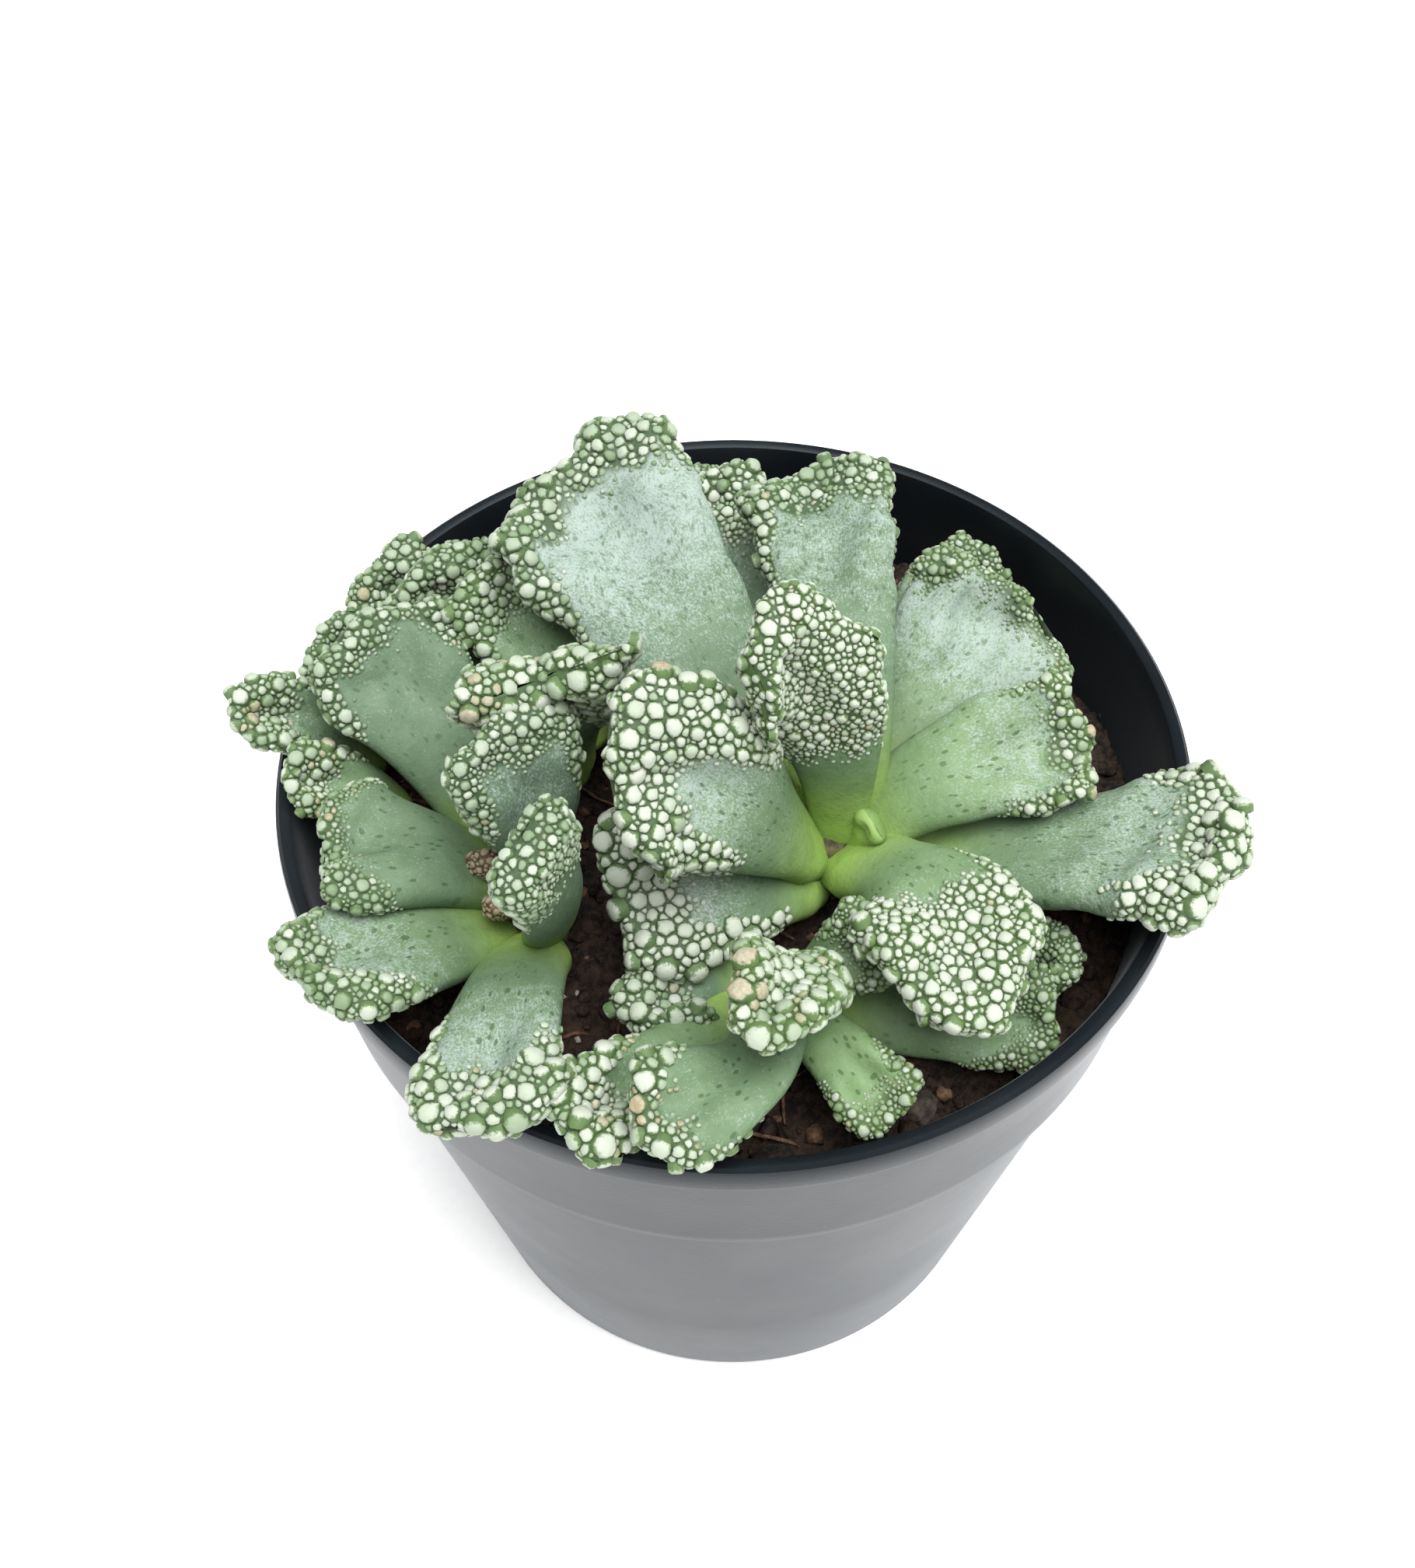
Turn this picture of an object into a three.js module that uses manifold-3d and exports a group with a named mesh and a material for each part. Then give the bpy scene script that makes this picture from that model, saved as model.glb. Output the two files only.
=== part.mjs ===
// Potted concrete leaf: a clump of wart-tipped leaves in four heads, standing in peat in a round nursery pot.
// Lengths are millimetres, +Z is up, the origin is the middle of the pot's underside.
import * as THREE from 'three';
import Module from 'manifold-3d';

const wasm = await Module();
wasm.setup();
const { Manifold, Mesh } = wasm;

// The pot and the soil
const RIM_RADIUS = 38;
const POT_HEIGHT = 66.6;
const COLLAR_FOOT = 50.4;      // height of the small step under the collar
const BASE_RADIUS = 27.1;
const POT_SIDES = 28;
const CLEAR = 0.3;             // air left between two pieces that touch on the real plant

// The leaves
// head: the stem it grows from. pts: base, bend point and tip of the middle line. neck and wid: width of the blade
// and of the tip. flare and full: where the blade starts to widen and where it is widest. face: where the upper
// side looks at the tip (turn from +X, rise). curl: how far each corner of the tip rolls up. bow: how round the end
// line is, and skew: how far it slants. corner: how round the corners are. tri: 1 for a tip that ends in one point.
// pt: length of the part in which the tip closes. bare: how far the smooth throat reaches toward the end.
const LEAVES = [
  { name: 'leaf_a1', head: 'a', pts: [[6, -5, 62], [-1, -1, 79], [-15, 20, 80]], neck: 8, wid: 21.5, face: [-80, 52], curl: [0.3, 0.1], bow: 0.4, skew: -0.2 },
  { name: 'leaf_a2', head: 'a', pts: [[9, -5, 62], [10, -5, 80], [6.5, 22.5, 77]], neck: 6.5, wid: 14, face: [-95, 40], curl: [0.2, 0], bow: 0.3 },
  { name: 'leaf_a3', head: 'a', pts: [[8.5, -6.5, 64.5], [8.5, -5.5, 84], [1.5, -8.5, 89]], neck: 5, wid: 12.5, face: [-110, 50], pt: 0.3, flare: 0.1, bow: 0.4, full: 0.85, skew: -0.15 },
  { name: 'leaf_a4', head: 'a', pts: [[10, -2.5, 60], [14, 5, 66], [25, 13.5, 71]], neck: 8, wid: 18.5, face: [-75, 62], bow: 0.3 },
  { name: 'leaf_a5', head: 'a', pts: [[9.5, -5.5, 61.5], [15, -5, 73.5], [28.5, -1.5, 70]], neck: 6.5, wid: 13.5, face: [-110, 60], bow: 0.35, curl: [0.15, 0.32] },
  { name: 'leaf_a6', head: 'a', pts: [[11.5, -5.5, 60], [21.5, -10.5, 66], [40, -11.5, 72]], neck: 7, wid: 19, face: [100, 78], bow: 0.45, skew: 0.1 },
  { name: 'leaf_a7', head: 'a', pts: [[9, -7.5, 62], [18, -16.5, 74], [16.5, -27.5, 70]], neck: 7, wid: 16.5, face: [-70, 48], tri: 0.65, pt: 0.4, flare: 0.3, full: 0.72 },
  { name: 'leaf_a8', head: 'a', pts: [[11, -5.5, 58], [19, -10.5, 60.5], [26, -20, 62.5]], neck: 4.5, wid: 8.5, face: [-80, 50] },
  { name: 'leaf_a9', head: 'a', pts: [[6, -7, 63], [-0.5, -14, 82], [-9, -13.5, 83]], neck: 7.5, wid: 18, face: [-95, 50], bow: 0.35, skew: -0.25, corner: 0.55 },
  { name: 'leaf_a10', head: 'a', pts: [[6, -7.5, 60], [-1, -13.5, 69], [-9.5, -15.5, 67.5]], neck: 8, wid: 14.5, face: [-95, 52], flare: 0.1, full: 0.8 },
  { name: 'leaf_a11', head: 'a', pts: [[7, -1, 59], [2, 8, 69], [-2.5, 28.5, 71]], neck: 6, wid: 11, face: [-90, 50] },
  { name: 'leaf_b1', head: 'b', pts: [[-19.5, -9, 61], [-23.5, -11, 69], [-32.5, -11.5, 70]], neck: 8, wid: 15.5, face: [60, 75] },
  { name: 'leaf_b2', head: 'b', pts: [[-19, -13.5, 60], [-24.5, -17.5, 67], [-32, -25, 71.5]], neck: 7.5, wid: 11.5, face: [60, 75], flare: 0, full: 0.6 },
  { name: 'leaf_b3', head: 'b', pts: [[-16, -16, 61], [-17, -24, 70], [-18, -36.5, 70.5]], neck: 7, wid: 12.5, face: [-120, 60], bow: 0.35, corner: 0.35 },
  { name: 'leaf_b4', head: 'b', pts: [[-15, -15.5, 64], [-12, -21.5, 78], [-15, -22, 85]], neck: 5, wid: 9.5, face: [160, 30] },
  { name: 'leaf_b5', head: 'b', pts: [[-16, -8.5, 62], [-14, -13.5, 78], [-18, -9, 82]], neck: 6, wid: 12.5, face: [-60, 50], skew: -0.1 },
  { name: 'leaf_d1', head: 'd', pts: [[-19, -5, 60], [-23, -0.5, 68], [-30.5, 6, 76]], neck: 7, wid: 14.5, face: [-60, 50] },
  { name: 'leaf_d2', head: 'd', pts: [[-15, 1, 62], [-15, -0.5, 73], [-14.5, -6.5, 83.5]], neck: 7, wid: 15, face: [-80, 30], bow: -0.45, skew: -0.3 },
  { name: 'leaf_d3', head: 'd', pts: [[-13, 4.5, 62], [-16, 7.5, 71], [-21, 11.5, 77]], neck: 7, wid: 10, face: [-60, 50] },
  { name: 'leaf_d4', head: 'd', pts: [[-20.5, 4, 60], [-23, 10.5, 68], [-26, 12.5, 76]], neck: 6, wid: 12, face: [-60, 50] },
  { name: 'leaf_d5', head: 'd', pts: [[-22.5, 6.5, 60], [-26.5, 15, 66], [-31.5, 16.5, 71.5]], neck: 6, wid: 10.5, face: [-60, 50] },
  { name: 'leaf_d6', head: 'd', pts: [[-31.5, 5, 59], [-35, 2, 72], [-40.5, -1, 72]], neck: 5, wid: 6.5, face: [-60, 60] },
  { name: 'leaf_d7', head: 'd', pts: [[-28.5, -2, 59], [-30.5, -2, 66], [-36, -4.5, 69]], neck: 5, wid: 6, face: [-60, 60] },
  { name: 'leaf_c1', head: 'c', pts: [[2, -19.5, 59], [-4.5, -29, 65.5], [-12, -36, 70]], neck: 6, wid: 8, face: [-120, 50] },
  { name: 'leaf_c2', head: 'c', pts: [[2.5, -20.5, 60], [4.5, -32, 72], [-6.5, -36.5, 71.5]], neck: 6, wid: 9, face: [-130, 50] },
  { name: 'leaf_c3', head: 'c', pts: [[4, -19.5, 62], [5.5, -25, 78], [1.5, -32.5, 76]], neck: 4.5, wid: 9, face: [-95, 52], flare: 0.2, full: 0.6, tri: 0.6, pt: 0.4 },
  { name: 'leaf_c4', head: 'c', pts: [[5, -20.5, 60], [7.5, -27.5, 67], [12.5, -31.5, 63]], neck: 4.5, wid: 7, face: [-80, 60] },
  { name: 'leaf_c5', head: 'c', pts: [[5.5, -18.5, 61], [8, -20.5, 67], [12, -19.5, 70]], neck: 4.5, wid: 8, face: [-100, 50] },
  { name: 'leaf_c6', head: 'c', pts: [[5.5, -18.5, 58], [14.5, -22, 61], [25.5, -22.5, 62]], neck: 6, wid: 8.5, face: [-90, 60] },
  { name: 'leaf_c7', head: 'c', pts: [[1.5, -17.5, 59], [-4.5, -18, 62.5], [-6, -24.5, 64]], neck: 5.5, wid: 8.5, face: [-110, 40] },
  { name: 'leaf_a12', head: 'a', pts: [[9.5, 0.5, 58.5], [11.5, 14, 62], [24.5, 23.5, 64]], neck: 5.5, wid: 12, face: [-80, 65] },
  { name: 'leaf_a13', head: 'a', pts: [[7, 1, 58.5], [0.5, 18, 62], [-4, 34.5, 66]], neck: 5.5, wid: 11, face: [-80, 60] },
  { name: 'leaf_d8', head: 'd', pts: [[-22, 5, 58.5], [-29.5, 6.5, 66], [-35, 9, 71.5]], neck: 5.5, wid: 8, face: [-50, 50] },
  { name: 'leaf_d9', head: 'd', pts: [[-19, 9, 58], [-20, 13.5, 64], [-22.5, 19, 71]], neck: 5, wid: 8.5, face: [-70, 50] },
];

function seeded(seed) {
  let a = seed >>> 0;
  return () => {
    a = (a + 0x6d2b79f5) >>> 0;
    let t = a;
    t = Math.imul(t ^ (t >>> 15), t | 1);
    t ^= t + Math.imul(t ^ (t >>> 7), t | 61);
    return ((t ^ (t >>> 14)) >>> 0) / 4294967296;
  };
}

const clamp = (x) => Math.min(1, Math.max(0, x));
const smooth = (a, b, x) => {
  const t = clamp((x - a) / (b - a));
  return t * t * (3 - 2 * t);
};
const add = (a, b) => a.map((v, i) => v + b[i]);
const sub = (a, b) => a.map((v, i) => v - b[i]);
const times = (a, k) => a.map((v) => v * k);
const dot = (a, b) => a[0] * b[0] + a[1] * b[1] + a[2] * b[2];
const cross = (a, b) => [a[1] * b[2] - a[2] * b[1], a[2] * b[0] - a[0] * b[2], a[0] * b[1] - a[1] * b[0]];
const unit = (a) => times(a, 1 / Math.max(1e-9, Math.hypot(...a)));
const blend = (a, b, k) => a.map((v, i) => v + (b[i] - v) * k);

function heading(turn, rise) {
  const a = (turn * Math.PI) / 180;
  const e = (rise * Math.PI) / 180;
  return [Math.cos(e) * Math.cos(a), Math.cos(e) * Math.sin(a), Math.sin(e)];
}

// The middle line of a leaf as a function of s, 0 at the base and 1 at the tip, with the three directions that the
// cross-section is drawn in: along, to the left, and toward the upper side.
function middleLine(leaf) {
  const [p0, p1, p2] = leaf.pts;
  const at = (t) => add(add(times(p0, (1 - t) ** 2), times(p1, 2 * t * (1 - t))), times(p2, t * t));
  const STEPS = 60;
  const reach = [0];
  for (let i = 1; i <= STEPS; i++) {
    reach.push(reach[i - 1] + Math.hypot(...sub(at(i / STEPS), at((i - 1) / STEPS))));
  }
  const length = reach[STEPS];
  const tipFace = heading(...leaf.face);
  const baseFace = unit(add([0, 0, 1], times(tipFace, 0.6)));
  const frame = (s) => {
    const want = s * length;
    let i = 1;
    while (i < STEPS && reach[i] < want) i++;
    const t = (i - 1 + (want - reach[i - 1]) / (reach[i] - reach[i - 1])) / STEPS;
    const along = unit(add(times(sub(p1, p0), 1 - t), times(sub(p2, p1), t)));
    const look = blend(baseFace, tipFace, smooth(0.05, 0.8, s));
    const up = unit(sub(look, times(along, dot(look, along))));
    return { at: at(t), along, left: cross(up, along), up };
  };
  return { frame, length };
}

// The smooth surface of a leaf: s runs from base to tip, turn goes round the section, with the upper side in
// 0..pi. grow is a thickness added all round, for the room that a neighbour leaves.
function leafSurface(leaf, grow = 0) {
  const { neck, wid, curl = [0, 0], bow = 0.25, skew = 0, corner = 0.16, tri = 0, pt = 0.16, flare = 0.15, full = 1, hollow = 1.2 } = leaf;
  const { frame, length } = middleLine(leaf);
  const baseThick = 0.6 * neck;
  const tipThick = 1.3 + 0.2 * wid;
  return (s, turn) => {
    const f = frame(s);
    const opening = clamp((s - flare) / (full - flare)) ** 1.3;
    const half = ((neck + (wid - neck) * opening) / 2) * (0.8 + 0.2 * smooth(0, 0.12, s));
    const thick = baseThick + (tipThick - baseThick) * smooth(0.1, 0.9, s);
    const k = clamp((s - 1 + pt) / pt);
    const narrowing = 1 - (corner + (0.94 - corner) * tri) * k ** (3.2 - 1.9 * tri);
    const round = (0.5 * tipThick) / length;
    const closing = Math.sqrt(1 - clamp((s - 1 + round) / round) ** 2);
    const c = Math.cos(turn);
    const sn = Math.sin(turn);
    let x = Math.sign(c) * Math.abs(c) ** 0.8 * (half * narrowing + grow);
    const across = x / (half + grow);
    let y = sn >= 0 ? (0.44 * thick * closing + grow) * Math.abs(sn) ** 0.75
      : -(0.56 * thick * closing + grow) * Math.abs(sn) ** 0.9;
    if (sn > 0) {
      y -= sn * hollow * Math.exp(-((across / 0.42) ** 2)) * smooth(0.45, 0.75, s)
        * (1 - smooth(0.88, 1, s));
    }
    const tip = smooth(0.6, 1, s);
    y += half * tip * (curl[0] * smooth(0.05, 1, across) + curl[1] * smooth(0.05, 1, -across));
    x -= half * tip * 0.4 * (curl[0] * smooth(0.4, 1, across) - curl[1] * smooth(0.4, 1, -across));
    const lag = (bow * across ** 2 - skew * across) * half * smooth(1 - 2.4 * pt, 1, s) - grow * smooth(0.9, 1, s);
    return add(f.at, add(add(times(f.left, x), times(f.up, y)), times(f.along, -lag)));
  };
}

// Where the warts stand: on the end of the upper side round the smooth throat, on the margins and on the end of the
// underside. 1 is full height.
function wartiness(leaf, s, turn) {
  const bare = leaf.bare ?? 0.8;
  const across = Math.cos(turn);
  if (Math.sin(turn) >= -0.2) {
    const start = 0.6 + (bare - 0.6) * Math.exp(-((across / 0.55) ** 2));
    return smooth(start - 0.03, start + 0.04, s);
  }
  return smooth(0.72, 0.8, s);
}

// The turn round the section of a column, with more of the columns on the upper side.
function columnTurn(part) {
  const t = ((part % 1) + 1) % 1;
  return t < 0.58 ? (t / 0.58) * Math.PI : Math.PI + ((t - 0.58) / 0.42) * Math.PI;
}

// A leaf as a closed mesh: few rows and columns on the blade, a fine triangular net on the tip, whose every third
// point is raised into a wart.
function leafSolid(leaf, seed) {
  const surface = leafSurface(leaf);
  const random = seeded(seed);
  const FINE = leaf.wid > 15 ? 21 : leaf.wid > 9.5 ? 18 : leaf.wid > 4 ? 15 : 9;
  const COARSE = FINE / 3;
  const { length } = middleLine(leaf);
  const round = (0.5 * (1.3 + 0.2 * leaf.wid)) / length;
  const points = [];
  const triangles = [];
  const put = (p) => points.push(p) - 1;
  const outward = (s, turn) => {
    const e = 0.004;
    const ds = sub(surface(Math.min(s + e, 1), turn), surface(s - e, turn));
    const dt = sub(surface(s, turn + 0.05), surface(s, turn - 0.05));
    return unit(cross(ds, dt));
  };
  // the blade
  const rings = [];
  const bladeRows = [0, 0.2, 0.4];
  bladeRows.forEach((s, row) => {
    const ring = [];
    for (let j = 0; j < COARSE; j++) ring.push(put(surface(s, columnTurn((j + 0.5 * (row % 2)) / COARSE))));
    rings.push(ring);
  });
  // the tip
  const rows = Math.max(leaf.wid > 4 ? 5 : 2, Math.round(((1 - round - 0.54) * length) / 2.6));
  const tipRows = [];
  for (let i = 0; i <= rows; i++) tipRows.push(0.54 + ((1 - round - 0.54) * i) / rows);
  tipRows.push(1 - round + round * 0.62, 1 - round + round * 0.93);
  const last = tipRows.length - 1;
  tipRows.forEach((s, row) => {
    const ring = [];
    for (let j = 0; j < FINE; j++) {
      const turn = columnTurn((j + 0.5 * (row % 2)) / FINE);
      const cell = j - Math.floor(row / 2) - row;
      const raised = row > 0 && row < last + 1 && ((cell % 3) + 3) % 3 === 0;
      if (!raised) {
        ring.push(put(surface(s, turn)));
        continue;
      }
      const amount = wartiness(leaf, s, turn);
      const slip = amount * 0.012;
      const s2 = Math.min(s + (random() - 0.5) * slip, 0.999);
      const turn2 = turn + (random() - 0.5) * 0.08 * amount;
      const height = amount * (0.55 + 0.45 * random()) * (leaf.wid > 9.5 ? 1 : 0.75);
      ring.push(put(add(surface(s2, turn2), times(outward(Math.min(s2, 0.985), turn2), height))));
    }
    rings.push(ring);
  });
  // the net between the rings
  const fan = (a, b, c) => triangles.push([a, b, c]);
  for (let i = 0; i + 1 < rings.length; i++) {
    const low = rings[i];
    const high = rings[i + 1];
    const n = low.length;
    if (n === high.length) {
      const tipRow = i - bladeRows.length;
      const shifted = (tipRow >= 0 ? tipRow : i) % 2 === 1;
      for (let j = 0; j < n; j++) {
        const k = (j + 1) % n;
        if (shifted) {
          fan(low[j], low[k], high[k]);
          fan(low[j], high[k], high[j]);
        } else {
          fan(low[j], low[k], high[j]);
          fan(low[k], high[k], high[j]);
        }
      }
    } else {
      for (let j = 0; j < n; j++) {
        const k = (j + 1) % n;
        const shift = (bladeRows.length - 1) % 2 === 1 ? 1 : 0;
        const f = [0, 1, 2, 3].map((m) => high[(3 * j + m + shift) % high.length]);
        fan(low[j], f[1], f[0]);
        fan(low[j], low[k], f[1]);
        fan(low[k], f[2], f[1]);
        fan(low[k], f[3], f[2]);
      }
    }
  }
  // the two ends
  const closeEnd = (ring, centre, flip) => {
    const c = put(centre);
    ring.forEach((a, j) => {
      const b = ring[(j + 1) % ring.length];
      if (flip) fan(a, b, c);
      else fan(b, a, c);
    });
  };
  closeEnd(rings[0], surface(0, 0).map((v, i) => (v + surface(0, Math.PI)[i]) / 2), false);
  closeEnd(rings[rings.length - 1], surface(1, Math.PI / 2), true);
  return solidOf(points, triangles);
}

// A closed body from points and triangles that look outward.
function solidOf(points, triangles) {
  const mesh = new Mesh({
    numProp: 3,
    vertProperties: new Float32Array(points.flat()),
    triVerts: new Uint32Array(triangles.flat()),
  });
  mesh.merge();
  const body = new Manifold(mesh);
  return body.volume() < 0 ? solidOf(points, triangles.map(([a, b, c]) => [a, c, b])) : body;
}

// The room that a leaf takes, a little thicker than the leaf, in a coarse net.
function leafRoom(leaf) {
  const surface = leafSurface(leaf, CLEAR + 0.15);
  const points = [];
  const triangles = [];
  const COLUMNS = 10;
  const rows = [0, 0.2, 0.4, 0.6, 0.78, 0.92, 0.985];
  const rings = rows.map((s) => {
    const ring = [];
    for (let j = 0; j < COLUMNS; j++) ring.push(points.push(surface(Math.max(s, 0), columnTurn(j / COLUMNS))) - 1);
    return ring;
  });
  rings.slice(1).forEach((high, i) => {
    const low = rings[i];
    for (let j = 0; j < COLUMNS; j++) {
      const k = (j + 1) % COLUMNS;
      triangles.push([low[j], low[k], high[j]], [low[k], high[k], high[j]]);
    }
  });
  const middle = (ring) => times(ring.reduce((sum, v) => add(sum, points[v]), [0, 0, 0]), 1 / COLUMNS);
  const foot = points.push(middle(rings[0])) - 1;
  const end = points.push(middle(rings[rings.length - 1])) - 1;
  for (let j = 0; j < COLUMNS; j++) {
    const k = (j + 1) % COLUMNS;
    triangles.push([rings[0][k], rings[0][j], foot], [rings[rings.length - 1][j], rings[rings.length - 1][k], end]);
  }
  return solidOf(points, triangles);
}

// Stems, soil and pot
// foot: the middle of the hole in the soil. top: where the stem ends among the leaves. The tap root under it runs
// straight down.
const STEMS = [
  { name: 'stem_a', head: 'a', foot: [8, -6], top: [8, -6, 65.5], radius: 2.9 },
  { name: 'stem_b', head: 'b', foot: [-16.5, -12.5], top: [-16, -12.5, 64.5], radius: 2.6 },
  { name: 'stem_c', head: 'c', foot: [3.5, -19.5], top: [3.5, -19.5, 63], radius: 2.1 },
  { name: 'stem_d', head: 'd', foot: [-18, 2.5], top: [-18, 2.5, 63.5], radius: 2.6 },
];
const ROOT_DEPTH = 22;

// A round body through a list of heights and radii.
function turned(profile, sides, x = 0, y = 0) {
  const points = [];
  const triangles = [];
  profile.forEach(([r, z]) => {
    for (let j = 0; j < sides; j++) {
      const a = (2 * Math.PI * j) / sides;
      points.push([x + r * Math.cos(a), y + r * Math.sin(a), z]);
    }
  });
  const n = profile.length;
  for (let i = 0; i + 1 < n; i++) {
    for (let j = 0; j < sides; j++) {
      const k = (j + 1) % sides;
      triangles.push([i * sides + j, i * sides + k, (i + 1) * sides + k]);
      triangles.push([i * sides + j, (i + 1) * sides + k, (i + 1) * sides + j]);
    }
  }
  const foot = points.push([x, y, profile[0][1]]) - 1;
  const head = points.push([x, y, profile[n - 1][1]]) - 1;
  for (let j = 0; j < sides; j++) {
    const k = (j + 1) % sides;
    triangles.push([k, j, foot], [(n - 1) * sides + j, (n - 1) * sides + k, head]);
  }
  return solidOf(points, triangles);
}

function potSolid() {
  const outside = turned([
    [BASE_RADIUS - 0.9, 0], [BASE_RADIUS, 0.9], [35.3, COLLAR_FOOT - 0.5], [35.9, COLLAR_FOOT],
    [RIM_RADIUS - 0.55, POT_HEIGHT - 3.4], [RIM_RADIUS, POT_HEIGHT - 2.9], [RIM_RADIUS, POT_HEIGHT - 0.5],
    [RIM_RADIUS - 0.5, POT_HEIGHT],
  ], POT_SIDES);
  const inside = turned([
    [BASE_RADIUS - 1.4, 1.4], [34.2, COLLAR_FOOT], [36.5, POT_HEIGHT - 0.6], [36.9, POT_HEIGHT], [36.9, POT_HEIGHT + 1],
  ], POT_SIDES);
  let pot = outside.subtract(inside);
  // the underside is sunk a little inside its standing ring, and drains through six holes near the edge
  pot = pot.subtract(turned([[BASE_RADIUS - 3.2, -1], [BASE_RADIUS - 3.6, 0.4]], POT_SIDES).subtract(turned([[14, -2], [14, 1]], 24)));
  for (let i = 0; i < 6; i++) {
    const a = (Math.PI * (2 * i + 1)) / 6;
    pot = pot.subtract(turned([[3, -1], [3, 3]], 10, 19 * Math.cos(a), 19 * Math.sin(a)));
  }
  return pot;
}

// How high the soil stands over a point: crumbs and shallow hollows, from waves of several lengths.
function soilHeight(x, y) {
  const waves = Math.sin(0.23 * x + 0.7) * Math.cos(0.19 * y - 0.4) + 0.7 * Math.sin(0.47 * x - 0.31 * y + 2.1)
    + 0.45 * Math.sin(0.83 * x + 0.61 * y) + 0.4 * Math.cos(1.13 * y - 0.57 * x + 1.2);
  const r = Math.hypot(x, y);
  return 57.6 + 0.4 * waves - 0.9 * smooth(24, 34, r);
}

function soilSolid() {
  const points = [];
  const triangles = [];
  const RINGS = [34.6, 31, 26, 20.5, 15, 9, 4];
  const SIDES = 24;
  const random = seeded(41);
  const ring = (r, z) => {
    const list = [];
    for (let j = 0; j < SIDES; j++) {
      const a = (2 * Math.PI * j) / SIDES;
      list.push(points.push([r * Math.cos(a), r * Math.sin(a), z ?? 0]) - 1);
    }
    return list;
  };
  const join = (low, high) => {
    for (let j = 0; j < SIDES; j++) {
      const k = (j + 1) % SIDES;
      triangles.push([low[j], low[k], high[k]], [low[j], high[k], high[j]]);
    }
  };
  // round the sides, 0.3 inside the pot's wall
  const floorRing = ring(BASE_RADIUS - 1.9, 1.4 + CLEAR);
  const stepRing = ring(33.7, COLLAR_FOOT);
  const foot = points.push([0, 0, 1.4 + CLEAR]) - 1;
  for (let j = 0; j < SIDES; j++) triangles.push([floorRing[(j + 1) % SIDES], floorRing[j], foot]);
  join(floorRing, stepRing);
  let before = stepRing;
  RINGS.forEach((r, i) => {
    const list = [];
    for (let j = 0; j < SIDES; j++) {
      const a = (2 * Math.PI * (j + (i ? 0.5 * random() : 0))) / SIDES;
      const rr = i ? r + 1.4 * (random() - 0.5) : r;
      const x = rr * Math.cos(a);
      const y = rr * Math.sin(a);
      list.push(points.push([x, y, soilHeight(x, y) + (i ? 0.8 * (random() - 0.5) : 0)]) - 1);
    }
    join(before, list);
    before = list;
  });
  const crown = points.push([0, 0, soilHeight(0, 0)]) - 1;
  for (let j = 0; j < SIDES; j++) triangles.push([before[j], before[(j + 1) % SIDES], crown]);
  return solidOf(points, triangles);
}

function stemBody(stem, grow = 0) {
  const { foot: [x, y], top, radius: r } = stem;
  const ground = soilHeight(x, y);
  return turned([
    [0.8 + grow, ground - ROOT_DEPTH - grow], [r * 0.9 + grow, ground - 8], [r + grow, ground - 2],
    [r + grow, top[2] - 1.6], [r * 0.6 + grow, top[2] - 0.1 + grow],
  ], 9, x, y);
}

// The largest body of a solid, without loose scraps.
function largest(solid) {
  return solid.decompose().sort((a, b) => b.volume() - a.volume())[0];
}

// Small things on the soil and between the leaves
// White and grey grains that lie half sunk in the soil: place, half size along three axes, turn.
const GRAINS = [
  { name: 'grit_1', at: [17.5, 26.5], size: [2.5, 2, 2.1], turn: 20 },
  { name: 'grit_2', at: [15, -27.5], size: [1.5, 1.2, 1.2], turn: 70 },
  { name: 'grit_3', at: [29.5, 8.5], size: [1.7, 1.3, 1.3], turn: 130 },
  { name: 'grit_4', at: [-9.5, -27], size: [1.4, 1.6, 1.2], turn: 10 },
];

function grainBody(grain, grow, seed) {
  const random = seeded(seed);
  const [x0, y0] = grain.at;
  const z0 = soilHeight(x0, y0) - 0.1;
  const points = [];
  for (let i = 0; i < 16; i++) {
    const up = 1 - (2 * (i + 0.5)) / 16;
    const a = i * 2.39996;
    const side = Math.sqrt(1 - up * up);
    const k = 0.86 + 0.22 * random() + grow / 1.3;
    const t = (grain.turn * Math.PI) / 180;
    const x = side * Math.cos(a) * grain.size[0] * k;
    const y = side * Math.sin(a) * grain.size[1] * k;
    points.push([x0 + x * Math.cos(t) - y * Math.sin(t), y0 + x * Math.sin(t) + y * Math.cos(t),
      z0 + up * grain.size[2] * k]);
  }
  return Manifold.hull(points);
}

// Shrivelled old leaves, each a short thin curled blade, at the foot of a head.
const DRIED = [
  { pts: [[-16, -12.5, 62.5], [-18.5, -11, 66.5], [-20.5, -12, 68.5]], neck: 2.6, wid: 3.4, face: [120, 40] },
  { pts: [[-16, -12.5, 62], [-17.5, -14.5, 66], [-19.5, -15, 66.5]], neck: 2.4, wid: 3, face: [160, 40] },
];

// Two new leaves that open in the middle of the main head, still small and nearly smooth.
const NEW_LEAVES = [
  { name: 'new_leaf_1', pts: [[9.8, -7.4, 64.5], [10.6, -7.8, 67], [11.2, -8.8, 69.2]], neck: 2.6, wid: 3.2, face: [-135, 20] },
  { name: 'new_leaf_2', pts: [[7.4, -5, 65], [6.2, -4.2, 68], [4.6, -3, 71]], neck: 2.2, wid: 2.6, face: [-90, 50] },
];

// Assembly
const nodes = [];
const stems = STEMS.map((stem) => ({ stem, body: stemBody(stem), room: stemBody(stem, CLEAR) }));

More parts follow.
